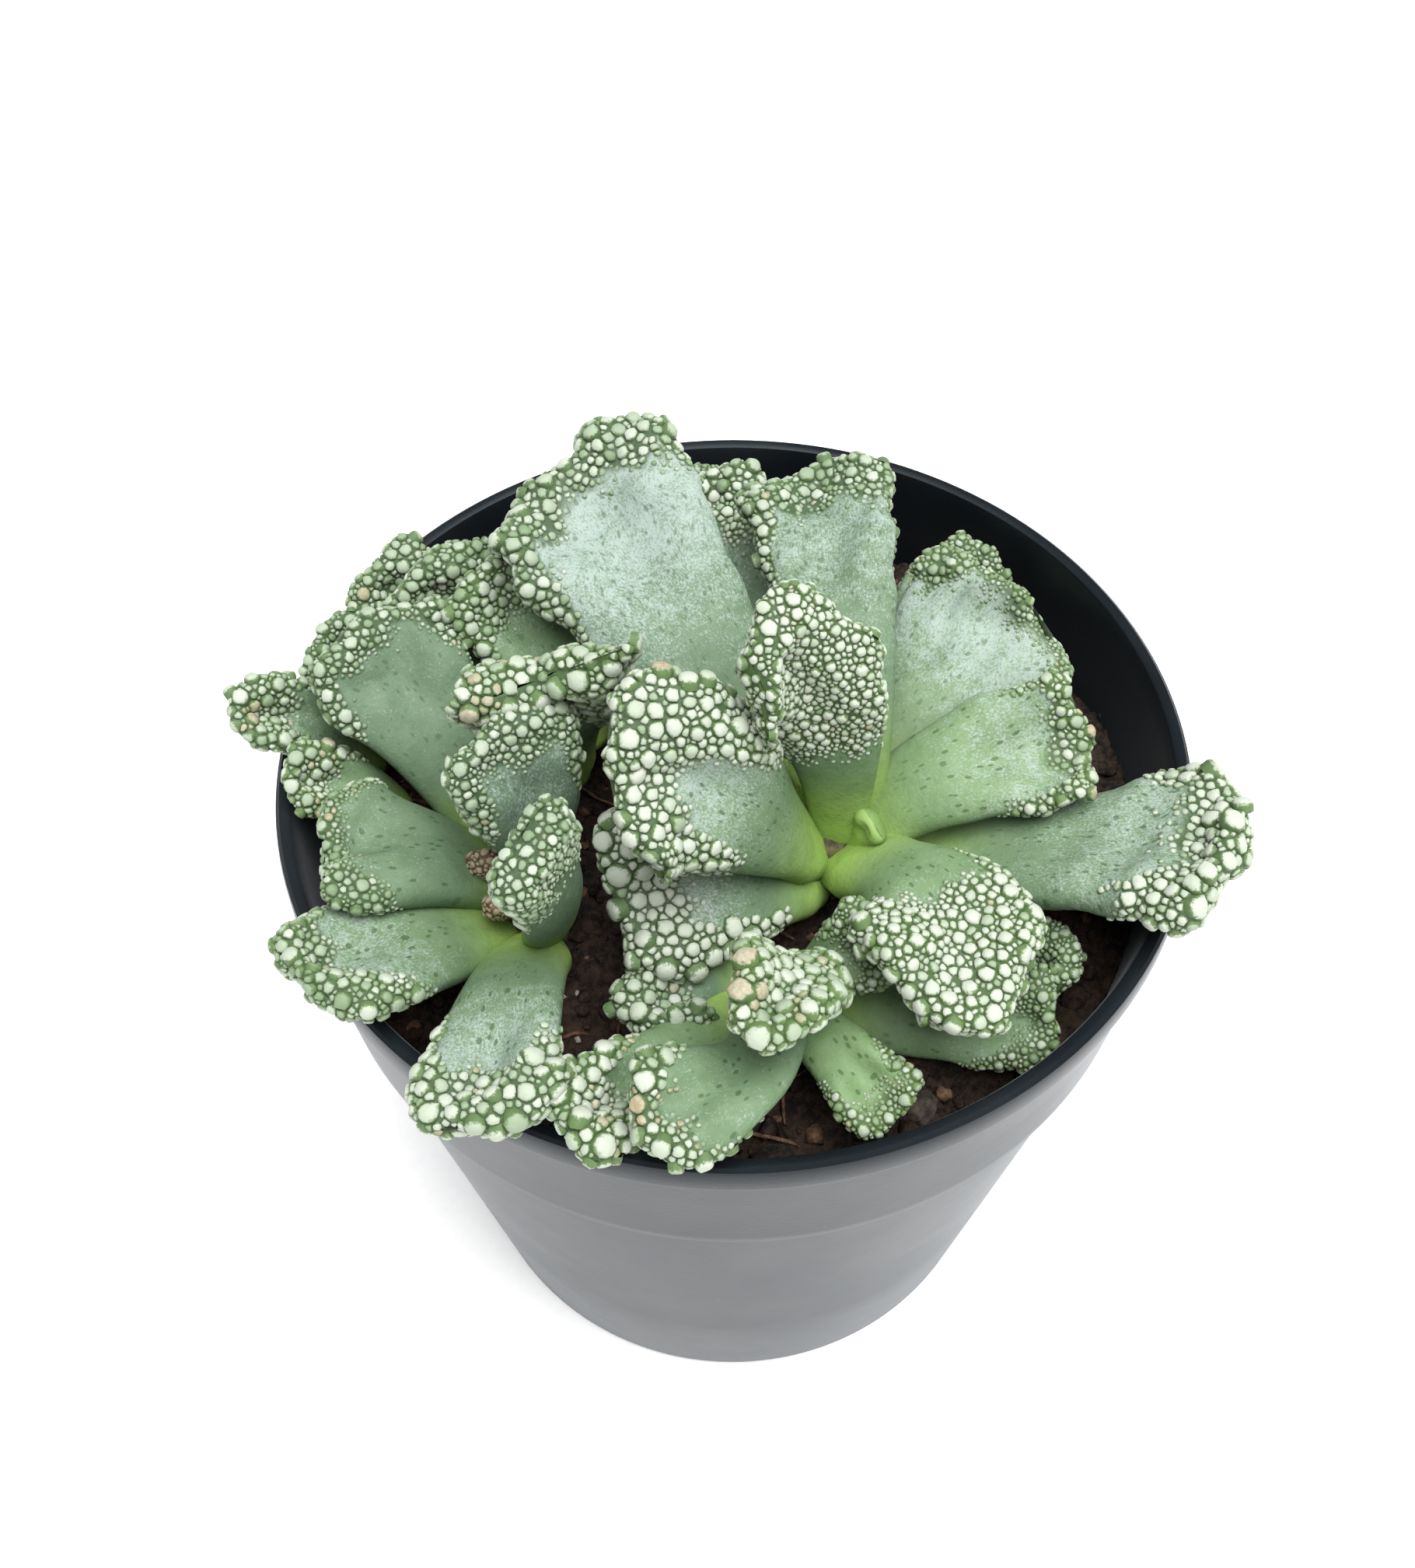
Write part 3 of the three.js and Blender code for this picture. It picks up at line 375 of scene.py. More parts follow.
def leaf_skin():
    skin = Finish("leaf_skin")
    blade = skin.vector("blade")
    reach = skin.value("reach")
    under = skin.value("under")
    zone = skin.value("zone")
    bloom = skin.value("bloom")
    fresh = skin.value("fresh")
    spotted = skin.value("dots")
    rise = skin.value("rise")
    wart = skin.value("wart")
    white = skin.value("white")
    tan = skin.value("tan")
    place = skin.place()

    # the green of the flesh, brightest at the neck
    deep = skin.blend(fresh, shade(72, 100, 74), shade(98, 136, 64))
    foot = skin.blend(fresh, shade(150, 186, 98, NECK_SHARE), shade(178, 214, 104, NECK_SHARE))
    pale = skin.blend(fresh, shade(122, 148, 126), shade(154, 190, 132))
    patches = skin.noise(place, 520, 4.0, 0.6)
    body = skin.blend(skin.between(reach, 0.08, 0.42), foot, pale)
    body = skin.blend(skin.between(patches, 0.35, 0.75, 0.0, 0.3), body, deep)
    # the underside is painted darker toward the deep green: painted shade on the side turned away from the
    # light
    body = skin.blend(skin.maths("MULTIPLY", under, 0.5), body, deep)

    # frost: a pale bloom of fine grains and short scratches, thickest on the throat
    grains = skin.noise(place, 5200, 2.0, 0.6)
    scratches = skin.noise(skin.stretched(blade, (3.2, 1.1, 1.0)), 2.0, 3.0, 0.65)
    cloud = skin.noise(place, 800, 3.0, 0.6)
    cover = skin.between(grains, 0.36, 0.66, -0.3, 0.22)
    cover = skin.maths("ADD", cover, skin.between(cloud, 0.3, 0.7, -0.22, 0.16))
    cover = skin.maths("ADD", cover, skin.between(scratches, 0.36, 0.66, -0.24, 0.2))
    cover = skin.maths("ADD", cover, bloom)
    cover = skin.between(cover, 0.2, 1.25, 0.0, 0.95)
    body = skin.blend(cover, body, shade(208, 226, 216))

    # clear cells that show through the frost as darker dots, a little longer than wide
    dots = skin.cells(skin.stretched(blade, (1.0, 0.72, 1.0)), 1.3, 0.75)
    dots = skin.between(dots, 0.2, 0.32, 1.0, 0.0)
    dots = skin.maths("MULTIPLY", dots, skin.between(reach, 0.22, 0.5))
    dots = skin.maths("MULTIPLY", dots, skin.between(spotted, 0.0, 0.8, 0.15, 1.0))
    body = skin.blend(skin.maths("MULTIPLY", dots, 0.75), body,
                      skin.blend(fresh, shade(78, 108, 82), shade(84, 122, 66)))

    # dark green between the warts: partly the skin's own darker green, partly painted shade in the grooves
    grooves = skin.blend(fresh, shade(64, 92, 52), shade(76, 108, 46))
    body = skin.blend(skin.between(zone, 0.55, 1.0, 0.0, 0.88), body, grooves)

    # warts: green flanks and a flat chalky crown with a rough rim
    flank = skin.blend(fresh, shade(112, 140, 98), shade(126, 158, 92))
    chalk = skin.blend(skin.between(white, 0.2, 1.0), shade(176, 200, 162), shade(238, 248, 228))
    crust = skin.noise(place, 2600, 3.0, 0.6)
    fleck = skin.noise(place, 7500, 2.0, 0.6)
    edge = skin.between(crust, 0.3, 0.7, -0.2, 0.2)
    edge = skin.maths("ADD", edge, skin.between(fleck, 0.3, 0.7, -0.12, 0.12))
    crown = skin.between(skin.maths("ADD", rise, edge), 0.3, 0.76)
    crown = skin.maths("MULTIPLY", crown, skin.between(white, 0.0, 0.6, 0.5, 1.0))
    bead = skin.blend(crown, flank, chalk)
    brown = skin.blend(skin.between(crust, 0.35, 0.65), shade(200, 174, 132), shade(228, 216, 182))
    bead = skin.blend(skin.maths("MULTIPLY", tan, crown), bead, brown)
    colour = skin.blend(wart, body, bead)

    relief = skin.noise(place, 2200, 3.0, 0.6)
    normal = skin.bump(relief, 0.00012, 0.5)
    normal = skin.bump(fleck, 0.00005, 0.5, normal)
    return skin.set(Base_Color=colour, Roughness=skin.between(crust, 0.3, 0.7, 0.52, 0.7), Normal=normal,
                    Subsurface_Weight=0.12, Subsurface_Radius=(0.6, 1.0, 0.35), Subsurface_Scale=0.0012,
                    Specular_IOR_Level=0.3)


def dried_skin():
    skin = Finish("dried_skin")
    place = skin.place()
    rise = skin.value("rise")
    wart = skin.value("wart")
    folds = skin.noise(place, 900, 4.0, 0.6)
    body = skin.blend(skin.between(folds, 0.35, 0.65), shade(92, 66, 46), shade(168, 138, 100))
    bead = skin.blend(skin.between(rise, 0.2, 0.7), shade(126, 104, 70), shade(206, 192, 158))
    colour = skin.blend(wart, body, bead)
    return skin.set(Base_Color=colour, Roughness=0.85, Normal=skin.bump(folds, 0.0003, 0.8))


def stem_bark():
    bark = Finish("stem_bark")
    place = bark.place((1, 1, 0.35))
    rings = bark.noise(place, 1100, 4.0, 0.6)
    colour = bark.blend(bark.between(rings, 0.35, 0.65), shade(70, 56, 40), shade(128, 124, 78))
    return bark.set(Base_Color=colour, Roughness=0.8, Normal=bark.bump(rings, 0.0004, 0.7))


def black_plastic():
    plastic = Finish("black_plastic")
    place = plastic.place()
    haze = plastic.noise(place, 45, 4.0, 0.6)
    grain = plastic.noise(place, 2600, 2.0)
    rubs = plastic.noise(plastic.place((1, 1, 22)), 60, 3.0, 0.7)
    specks = plastic.cells(place, 330)
    specks = plastic.between(specks, 0.05, 0.085, 1.0, 0.0)
    sparse = plastic.between(plastic.noise(place, 120, 1.0), 0.6, 0.66)
    dirt = plastic.maths("MULTIPLY", specks, sparse)
    colour = plastic.blend(plastic.between(haze, 0.35, 0.7),
                           (0.0035, 0.0048, 0.0062, 1), (0.007, 0.0088, 0.0105, 1))
    colour = plastic.blend(dirt, colour, (0.05, 0.042, 0.034, 1))
    gloss = plastic.between(haze, 0.3, 0.7, 0.35, 0.41)
    gloss = plastic.maths("ADD", gloss, plastic.between(rubs, 0.5, 0.8, 0, 0.02))
    normal = plastic.bump(grain, 0.00003, 0.35)
    return plastic.set(Base_Color=colour, Roughness=gloss, Normal=normal, Specular_IOR_Level=0.18,
                       Specular_Tint=(0.8, 0.93, 1.0, 1), Sheen_Weight=0.1, Sheen_Roughness=0.35,
                       Sheen_Tint=(0.88, 0.94, 1.0, 1))


def peat():
    soil = Finish("peat")
    place = soil.place()
    tone = soil.value("tone")
    fine = soil.noise(place, 1500, 4.0, 0.65)
    lumps = soil.noise(place, 260, 4.0, 0.6)
    colour = soil.blend(soil.between(fine, 0.35, 0.68),
                        (0.006, 0.0045, 0.0035, 1), (0.034, 0.022, 0.015, 1))
    colour = soil.blend(soil.between(lumps, 0.45, 0.7, 0, 0.6), colour, (0.055, 0.032, 0.021, 1))
    bark = soil.blend(soil.between(fine, 0.3, 0.7), (0.05, 0.025, 0.014, 1), (0.17, 0.10, 0.06, 1))
    colour = soil.blend(soil.between(tone, 0.2, 0.5), colour, bark)
    colour = soil.blend(soil.between(tone, 0.7, 0.95), colour, shade(212, 204, 190))
    normal = soil.bump(fine, 0.0006, 0.9)
    return soil.set(Base_Color=colour, Roughness=0.92, Normal=normal, Specular_IOR_Level=0.2)


def perlite():
    stone = Finish("perlite")
    place = stone.place()
    pores = stone.cells(place, 1500)
    smudge = stone.noise(place, 500, 3.0)
    colour = stone.blend(stone.between(smudge, 0.35, 0.72), shade(214, 204, 192), shade(140, 120, 106))
    colour = stone.blend(stone.between(pores, 0.0, 0.25, 0.5, 0.0), colour, shade(96, 84, 72))
    return stone.set(Base_Color=colour, Roughness=0.9, Normal=stone.bump(pores, 0.0004, 0.7))


def pebble():
    stone = Finish("pebble")
    place = stone.place()
    veins = stone.noise(place, 700, 4.0, 0.6)
    colour = stone.blend(stone.between(veins, 0.35, 0.68), shade(52, 44, 38), shade(112, 98, 86))
    return stone.set(Base_Color=colour, Roughness=0.85, Normal=stone.bump(veins, 0.0004, 0.7))


def paper():
    sheet = Finish("paper")
    tooth = sheet.noise(sheet.place(), 900, 2.0)
    colour = sheet.blend(sheet.between(tooth, 0.3, 0.7), (0.90, 0.90, 0.90, 1), (0.92, 0.92, 0.92, 1))
    return sheet.set(Base_Color=colour, Roughness=0.9, Specular_IOR_Level=0.1)


# Making and shaping

def clear_selection():
    bpy.ops.object.select_all(action="DESELECT")


def finish_piece(piece, name, nodes, material, angle=None):
    piece.name = name
    piece.data.name = name
    piece.data.materials.clear()
    piece.data.materials.append(material)
    clear_selection()
    piece.select_set(True)
    bpy.context.view_layer.objects.active = piece
    if angle is None:
        bpy.ops.object.shade_smooth()
    else:
        bpy.ops.object.shade_smooth_by_angle(angle=math.radians(angle))
    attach(piece, "root")
    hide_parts(*nodes)


def points_of(mesh):
    flat = np.empty(len(mesh.vertices) * 3)
    mesh.vertices.foreach_get("co", flat)
    return flat.reshape(-1, 3)


def move_points(mesh, points):
    mesh.vertices.foreach_set("co", np.ascontiguousarray(points, float).ravel())
    mesh.update()


# A disc of the first radius, drawn out ring by ring through the other radii and heights, closed at both
# ends
def turned(profile, sides, centre=(0, 0)):
    clear_selection()
    radius, height = profile[0]
    bpy.ops.mesh.primitive_circle_add(vertices=sides, radius=radius * MM, fill_type="TRIFAN",
                                      location=(centre[0] * MM, centre[1] * MM, height * MM))
    body = bpy.context.object
    bpy.ops.object.mode_set(mode="EDIT")
    for next_radius, next_height in profile[1:]:
        lift = (0, 0, (next_height - height) * MM)
        bpy.ops.mesh.extrude_region_move(TRANSFORM_OT_translate={"value": lift})
        k = next_radius / radius
        middle = (centre[0] * MM, centre[1] * MM, next_height * MM)
        bpy.ops.transform.resize(value=(k, k, 1), center_override=middle)
        radius, height = next_radius, next_height
    bpy.ops.mesh.select_all(action="SELECT")
    bpy.ops.mesh.normals_make_consistent(inside=False)
    bpy.ops.object.mode_set(mode="OBJECT")
    bpy.ops.object.transform_apply(location=True, rotation=True, scale=True)
    return body


# The pot's outline, radius and height: from its foot up the wall, over the collar's step and the lip,
# and down inside to its floor
def pot_profile():
    foot = [(13.6, 0.0), (14.0, 0.4), (23.5, 0.4), (23.9, 0.0), (26.1, 0.0), (26.75, 0.25),
            (FOOT_RADIUS, 0.9)]
    wall = [(29.9, 17.6), (32.7, 34.3), (35.12, 49.2), (35.25, 49.85)]
    collar = [(35.9, 49.98), (36.02, 50.25), (36.14, 51.3), (37.35, 62.6)]
    lip = [(37.48, 63.25), (37.92, 63.6), (RIM_RADIUS, 64.0), (RIM_RADIUS, 65.9), (37.9, 66.35),
           (37.6, POT_HEIGHT), (37.1, POT_HEIGHT), (36.75, 66.45), (36.55, 66.0), (36.3, 64.5)]
    inside = [(34.3, 51.0), (34.15, 50.3), (30.0, 26.0), (25.9, 1.9), (25.3, 1.4)]
    return foot + wall + collar + lip + inside


def make_pot(material):
    pot = turned(pot_profile(), POT_SIDES)
    clear_selection()
    for i in range(DRAIN_HOLES):
        a = math.radians(30 + 360 / DRAIN_HOLES * i)
        middle = (DRAIN_CIRCLE * MM * math.cos(a), DRAIN_CIRCLE * MM * math.sin(a), 0.5 * MM)
        bpy.ops.mesh.primitive_cylinder_add(vertices=DRAIN_SIDES, radius=DRAIN_RADIUS * MM, depth=6 * MM,
                                            location=middle)
        drill = bpy.context.object
        clear_selection()
        bpy.context.view_layer.objects.active = pot
        cut = pot.modifiers.new("drain_hole", "BOOLEAN")
        cut.operation = "DIFFERENCE"
        cut.solver = "EXACT"
        cut.object = drill
        bpy.ops.object.modifier_apply(modifier=cut.name)
        bpy.data.objects.remove(drill, do_unlink=True)
    finish_piece(pot, "nursery_pot", ["pot"], material, 25)


# Small shapes that are stamped many times over a surface. Each is modelled once and kept as its own
# points and faces.
def take_shape(body):
    mesh = body.data
    points = points_of(mesh) + np.array(body.location)
    faces = [tuple(p.vertices) for p in mesh.polygons]
    bpy.data.objects.remove(body, do_unlink=True)
    return points, faces


# A wart: a ring drawn up and in over a few steps and closed on top. Its rim is at radius 1, its foot
# below zero.
def wart_shape(sides, steps):
    clear_selection()
    bpy.ops.mesh.primitive_circle_add(vertices=sides, radius=1.0, fill_type="NOTHING", location=(0, 0, 0))
    body = bpy.context.object
    bpy.ops.object.mode_set(mode="EDIT")
    bpy.ops.transform.translate(value=(0, 0, steps[0][1]))
    radius, height = steps[0]
    for next_radius, next_height in steps[1:]:
        bpy.ops.mesh.extrude_region_move(TRANSFORM_OT_translate={"value": (0, 0, next_height - height)})
        if next_radius == 0:
            bpy.ops.mesh.merge(type="CENTER")
        else:
            k = next_radius / radius
            bpy.ops.transform.resize(value=(k, k, 1), center_override=(0, 0, next_height))
            radius = next_radius
        height = next_height
    bpy.ops.mesh.select_all(action="SELECT")
    bpy.ops.mesh.normals_make_consistent(inside=False)
    bpy.ops.object.mode_set(mode="OBJECT")
    return take_shape(body)


def crumb_shape():
    clear_selection()
    bpy.ops.mesh.primitive_uv_sphere_add(segments=7, ring_count=5, radius=1.0, location=(0, 0, 0))
    body = bpy.context.object
    return take_shape(body)


# A mesh grown from pieces: points, faces and the values that its material reads
class Growth:
    def __init__(self):
        self.points = []
        self.faces = []
        self.values = {}
        self.count = 0

    def add(self, points, faces, **values):
        self.points.append(points)
        self.faces.extend(tuple(i + self.count for i in f) for f in faces)
        for name, value in values.items():
            value = np.broadcast_to(np.asarray(value, float), (len(points),))
            self.values.setdefault(name, []).append(value)
        self.count += len(points)

    def add_copies(self, shape_faces, points, **values):
        """points: copies x points of the shape x 3; each value: copies x points or one per copy."""
        copies, size = points.shape[:2]
        if copies == 0:
            return
        starts = self.count + size * np.arange(copies)
        for f in shape_faces:
            self.faces.extend(map(tuple, (starts[:, None] + np.array(f)).tolist()))
        self.points.append(points.reshape(-1, 3))
        for name, value in values.items():
            value = np.asarray(value, float)
            if value.ndim == 1:
                value = np.repeat(value[:, None], size, 1)
            self.values.setdefault(name, []).append(value.reshape(-1))
        self.count += copies * size

    def body(self, name):
        mesh = bpy.data.meshes.new(name)
        mesh.from_pydata(np.concatenate(self.points), [], self.faces)
        for key, parts in self.values.items():
            layer = mesh.attributes.new(key, "FLOAT", "POINT")
            layer.data.foreach_set("value", np.concatenate(parts).astype(np.float32))
        body = bpy.data.objects.new(name, mesh)
        bpy.context.collection.objects.link(body)
        return body


# A leaf's middle line, for a list of s (0 base, 1 tip): its places, the directions along it, to the left
# and toward the upper side, and its length
def middle_line(leaf, s):
    p0, p1, p2 = (np.array(p, float) for p in leaf["line"])
    t = np.linspace(0, 1, 61)[:, None]
    course = (1 - t) ** 2 * p0 + 2 * t * (1 - t) * p1 + t * t * p2
    reach = np.concatenate([[0], np.cumsum(np.linalg.norm(np.diff(course, axis=0), axis=1))])
    t = np.interp(np.asarray(s, float) * reach[-1], reach, t[:, 0])[:, None]
    at = (1 - t) ** 2 * p0 + 2 * t * (1 - t) * p1 + t * t * p2
    along = unit((1 - t) * (p1 - p0) + t * (p2 - p1))
    tip_face = heading(*leaf["face"])
    base_face = unit(np.array([0, 0, 1.0]) + 0.6 * tip_face)
    w = smooth(0.05, 0.8, s)[:, None]
    look = (1 - w) * base_face + w * tip_face
    up = unit(look - (look * along).sum(1)[:, None] * along)
    return at, along, np.cross(up, along), up, reach[-1]


# Small slow wobbles that keep two leaves from being alike
def wobble(points, size, seed):
    k = 2 * math.pi / size
    out = np.empty_like(points)
    for axis in range(3):
        a = points @ np.array([0.8, 0.5 - 0.3 * axis, 0.4]) * k + seed * 1.7 + axis * 2.1
        b = points @ np.array([-0.5, 0.7, 0.6 - 0.4 * axis]) * k * 1.3 + seed * 0.9 + axis * 4.2
        out[:, axis] = np.sin(a) * np.cos(b)
    return out


def end_thickness(leaf):
    return 1.3 + 0.2 * leaf["tip_width"]


# The smooth surface of a leaf for lists of s and turn, with the place across (-1 to 1) and the length
def leaf_surface(leaf, s, turn):
    at, along, left, up, length = middle_line(leaf, s)
    neck, tip_width, pointed = leaf["neck"], leaf["tip_width"], leaf["pointed"]
    taper, curl = leaf["taper"], leaf["curl"]
    base_thick, tip_thick = 0.6 * neck, end_thickness(leaf)
    opening = np.clip((s - leaf["flare"]) / (leaf["full"] - leaf["flare"]), 0, 1) ** 1.3
    half = (neck + (tip_width - neck) * opening) / 2 * (0.8 + 0.2 * smooth(0, 0.12, s))
    thick = base_thick + (tip_thick - base_thick) * smooth(0.1, 0.9, s)
    k = np.clip((s - 1 + taper) / taper, 0, 1)
    narrowing = 1 - (leaf["corner"] + (0.94 - leaf["corner"]) * pointed) * k ** (3.2 - 1.9 * pointed)
    rounding = 0.5 * tip_thick / length
    closing = np.sqrt(1 - np.clip((s - 1 + rounding) / rounding, 0, 1) ** 2)
    sideways, upward = np.cos(turn), np.sin(turn)
    x = np.sign(sideways) * np.abs(sideways) ** 0.8 * half * narrowing
    across = x / half
    # the upper side swells less than the underside and sinks in along its middle
    roundness = 1.05 - 0.3 * smooth(0.35, 0.8, s)
    y = np.where(upward >= 0, 0.44 * thick * closing * np.abs(upward) ** roundness,
                 -0.56 * thick * closing * np.abs(upward) ** 0.9)
    y -= (np.clip(upward, 0, 1) * 1.3 * leaf["hollow"] * np.exp(-(across / 0.42) ** 2)
          * smooth(0.45, 0.75, s) * (1 - smooth(0.88, 1, s)))
    # the corners curl up and in, and the end line bows and slants
    tip = smooth(0.6, 1, s)
    y += half * tip * (curl[0] * smooth(0.05, 1, across) + curl[1] * smooth(0.05, 1, -across))
    x = x - half * tip * 0.4 * (curl[0] * smooth(0.4, 1, across) - curl[1] * smooth(0.4, 1, -across))
    lag = (leaf["bow"] * across ** 2 - leaf["skew"] * across) * half * smooth(1 - 2.4 * taper, 1, s)
    points = at + x[:, None] * left + y[:, None] * up - lag[:, None] * along
    seed = len(leaf["name"]) + leaf["line"][2][0]
    waves = min(0.6, tip_width * 0.04) * smooth(0.35, 0.9, s)[:, None]
    knobs = min(0.22, tip_width * 0.018) * smooth(0.6, 0.9, s)[:, None]
    points = points + wobble(points, 9.0, seed) * waves + wobble(points, 4.2, seed + 3) * knobs
    return points, across, length


# Which way the surface looks at each place, and how much of it one step of s and turn covers
def facing_and_area(leaf, s, turn):
    step_s, step_turn = 0.003, 0.02
    low, high = np.clip(s - step_s, 0, 1), np.clip(s + step_s, 0, 1)
    down = leaf_surface(leaf, high, turn)[0] - leaf_surface(leaf, low, turn)[0]
    round_it = leaf_surface(leaf, s, turn + step_turn)[0] - leaf_surface(leaf, s, turn - step_turn)[0]
    normal = np.cross(round_it, down)
    size = np.linalg.norm(normal, axis=1)
    return normal / np.maximum(size, 1e-9)[:, None], size


# Where the warts stand, 0 to 1: the end of the upper side round the smooth throat, the margins and the
# end of the underside
def wart_zone(leaf, s, turn, edge=0.065):
    across = np.cos(turn)
    margin = np.where(across > 0, leaf["rims"][0], leaf["rims"][1])
    middle = 1 - smooth(leaf["open_half"] - 0.3, leaf["open_half"] + 0.2, np.abs(across))
    start = margin + (leaf["bare"] - margin) * middle
    start = start + 0.022 * np.sin(7 * turn + 7 * leaf["bare"] + leaf["tip_width"])
    start = start + 0.014 * np.sin(17 * turn + 9 * s)
    top = smooth(start - edge, start + edge * 0.6, s)
    below_start = 0.78 - 0.1 * np.abs(across)
    below = smooth(below_start - edge, below_start + edge, s)
    k = smooth(-0.45, -0.15, np.sin(turn))
    return top * k + below * (1 - k)


# Passes over the wart places, from the largest warts to the smallest: the largest and the smallest
# radius as a share of the leaf's largest wart, the room kept to a neighbour as a share of both radii,
# and how many places are tried
WART_PASSES = [
    (1.0, 0.8, 1.25, 90),
    (0.8, 0.6, 1.0, 350),
    (0.6, 0.44, 0.94, 1100),
    (0.44, 0.32, 0.9, 3000),
    (0.32, 0.24, 0.86, 9000),
]


# Places thrown at random, evenly over the surface and only where warts stand
def wart_places(leaf, random):
    s = 0.28 + 0.72 * random.random(WART_PLACES) ** 0.8
    turn = 2 * math.pi * random.random(WART_PLACES)
    normal, area = facing_and_area(leaf, s, turn)
    keep = random.random(WART_PLACES) < area / np.quantile(area, 0.97)
    zone = wart_zone(leaf, s, turn)
    keep &= random.random(WART_PLACES) < zone * 1.3
    return s[keep], turn[keep], normal[keep], zone[keep]


# The largest wart that may stand at each place: large ones grow on the rim of the end and on the margins,
# small ones toward the throat
def largest_there(leaf, s, turn):
    deep_zone = wart_zone(leaf, s - 0.06, turn, 0.07)
    edge = np.maximum(smooth(0.5, 0.9, np.abs(np.cos(turn))), smooth(0.88, 0.97, s))
    cap = leaf["big"] * (0.32 + 0.68 * deep_zone) * (0.74 + 0.26 * edge)
    return cap * np.where(np.sin(turn) < -0.4, 0.7, 1.0)


# Warts of falling size, kept where they find room
def throw_warts(leaf, random):
    s, turn, normal, zone = wart_places(leaf, random)
    if not len(s):
        return np.empty((0, 3)), np.empty(0), normal, s, turn, zone
    spots = leaf_surface(leaf, s, turn)[0]
    cap = largest_there(leaf, s, turn)
    placed, radii = np.empty((0, 3)), np.empty(0)
    chosen = []
    used = np.zeros(len(spots), bool)
    for high, low, room, tries in WART_PASSES:
        order = random.permutation(len(spots))
        pick = order[~used[order]][:tries]
        size = leaf["big"] * (low + (high - low) * random.random(len(pick)))
        size = np.maximum(size, SMALLEST_WART)
        fits = size <= np.maximum(cap[pick] * 1.05, SMALLEST_WART)
        pick, size = pick[fits], size[fits]
        if len(placed) and len(pick):
            gap = np.linalg.norm(spots[pick][:, None] - placed[None], axis=2)
            gap -= (size[:, None] + radii[None]) * min(room, 0.97)
            free = gap.min(1) > 0
            pick, size = pick[free], size[free]
        new_spots, new_radii = np.empty((len(pick), 3)), np.empty(len(pick))
        n = 0
        for i, r in zip(pick, size):
            if n:
                d = np.linalg.norm(new_spots[:n] - spots[i], axis=1)
                if (d < (new_radii[:n] + r) * room).any():
                    continue
            new_spots[n], new_radii[n] = spots[i], r
            n += 1
            chosen.append(i)
            used[i] = True
        placed = np.concatenate([placed, new_spots[:n]])
        radii = np.concatenate([radii, new_radii[:n]])
    chosen = np.array(chosen, int)
    return placed, radii, normal[chosen], s[chosen], turn[chosen], zone[chosen]


# How far each wart reaches in each direction before it meets its neighbours
def outlines(spots, radii, side, ahead, angles, crowd):
    gap = GROOVE / 2
    apart = spots[None] - spots[:, None]
    distance = np.linalg.norm(apart, axis=2)
    np.fill_diagonal(distance, 1e9)
    near = np.argsort(distance, axis=1)[:, :10]
    rows = np.arange(len(spots))[:, None]
    d = distance[rows, near]
    toward = apart[rows, near]
    x = (toward * side[:, None]).sum(2)
    y = (toward * ahead[:, None]).sum(2)
    bearing = np.arctan2(y, x)
    border = (d ** 2 + radii[:, None] ** 2 - radii[near] ** 2) / (2 * d) - gap
    facing = np.cos(angles[None, :, None] - bearing[:, None, :])
    reach = np.where(facing > 0.15, border[:, None, :] / np.maximum(facing, 0.15), 1e9).min(2)
    return np.clip(reach, 0.6 * radii[:, None], (1.08 + 0.3 * crowd[:, None]) * radii[:, None])


# A few warts turn brown, most of them in three clusters
def brown_share(leaf, spots, random):
    n = len(spots)
    tan = np.zeros(n)
    for _ in range(3):
        centre = spots[random.integers(n)]
        near = np.linalg.norm(spots - centre, axis=1) < 2.2
        tan[near & (random.random(n) < leaf["tan"] * 9)] = 0.5 + 0.5 * random.random()
    return np.maximum(tan, np.where(random.random(n) < leaf["tan"] * 0.3, 0.6, 0))


# The warts of a leaf: each is a stamped shape, drawn out to its neighbours. shapes holds every stamp
# with the range of radii that it is used for.
def stamp_warts(growth, leaf, random, shapes):
    if leaf["big"] < SMALLEST_WART:
        return
    spots, radii, normal, s, turn, zone = throw_warts(leaf, random)
    if not len(spots):
        return
    helper = np.where(np.abs(normal[:, 2:]) > 0.8, np.array([[1.0, 0, 0]]), np.array([[0, 0, 1.0]]))
    side = unit(np.cross(helper, normal))
    ahead = np.cross(normal, side)
    n = len(spots)
    spin = random.random(n) * 2 * math.pi
    side, ahead = (np.cos(spin)[:, None] * side + np.sin(spin)[:, None] * ahead,
                   -np.sin(spin)[:, None] * side + np.cos(spin)[:, None] * ahead)
    size_share = radii / leaf["big"]
    white = leaf["white"] * (0.52 + 0.52 * size_share) + 0.17 * random.standard_normal(n)
    tan = brown_share(leaf, spots, random)
    height = radii * (0.66 + 0.2 * random.random(n))
    for (shape, faces), low, high in shapes:
        those = (radii >= low) & (radii < high)
        if not those.any():
            continue
        angles = np.arctan2(shape[:, 1], shape[:, 0])
        rho = np.hypot(shape[:, 0], shape[:, 1])
        reach = outlines(spots, radii, side, ahead, angles, zone)[those]
        lift = shape[:, 2][None] * height[those][:, None]
        out = reach * rho[None]
        outward_way = (np.cos(angles)[None, :, None] * side[those][:, None]
                       + np.sin(angles)[None, :, None] * ahead[those][:, None])
        points = (spots[those][:, None] + out[..., None] * outward_way
                  + lift[..., None] * normal[those][:, None])
        rise = np.clip(shape[:, 2] / shape[:, 2].max(), 0, 1)
        count = int(those.sum())
        growth.add_copies(faces, points * MM, wart=np.ones(count), rise=np.tile(rise, (count, 1)),
                          white=white[those], tan=tan[those], zone=zone[those], reach=s[those],
                          under=np.zeros(count), bloom=np.full(count, leaf["bloom"]),
                          fresh=np.full(count, leaf["fresh"]), dots=np.zeros(count),
                          across=np.zeros(count), along=np.zeros(count))


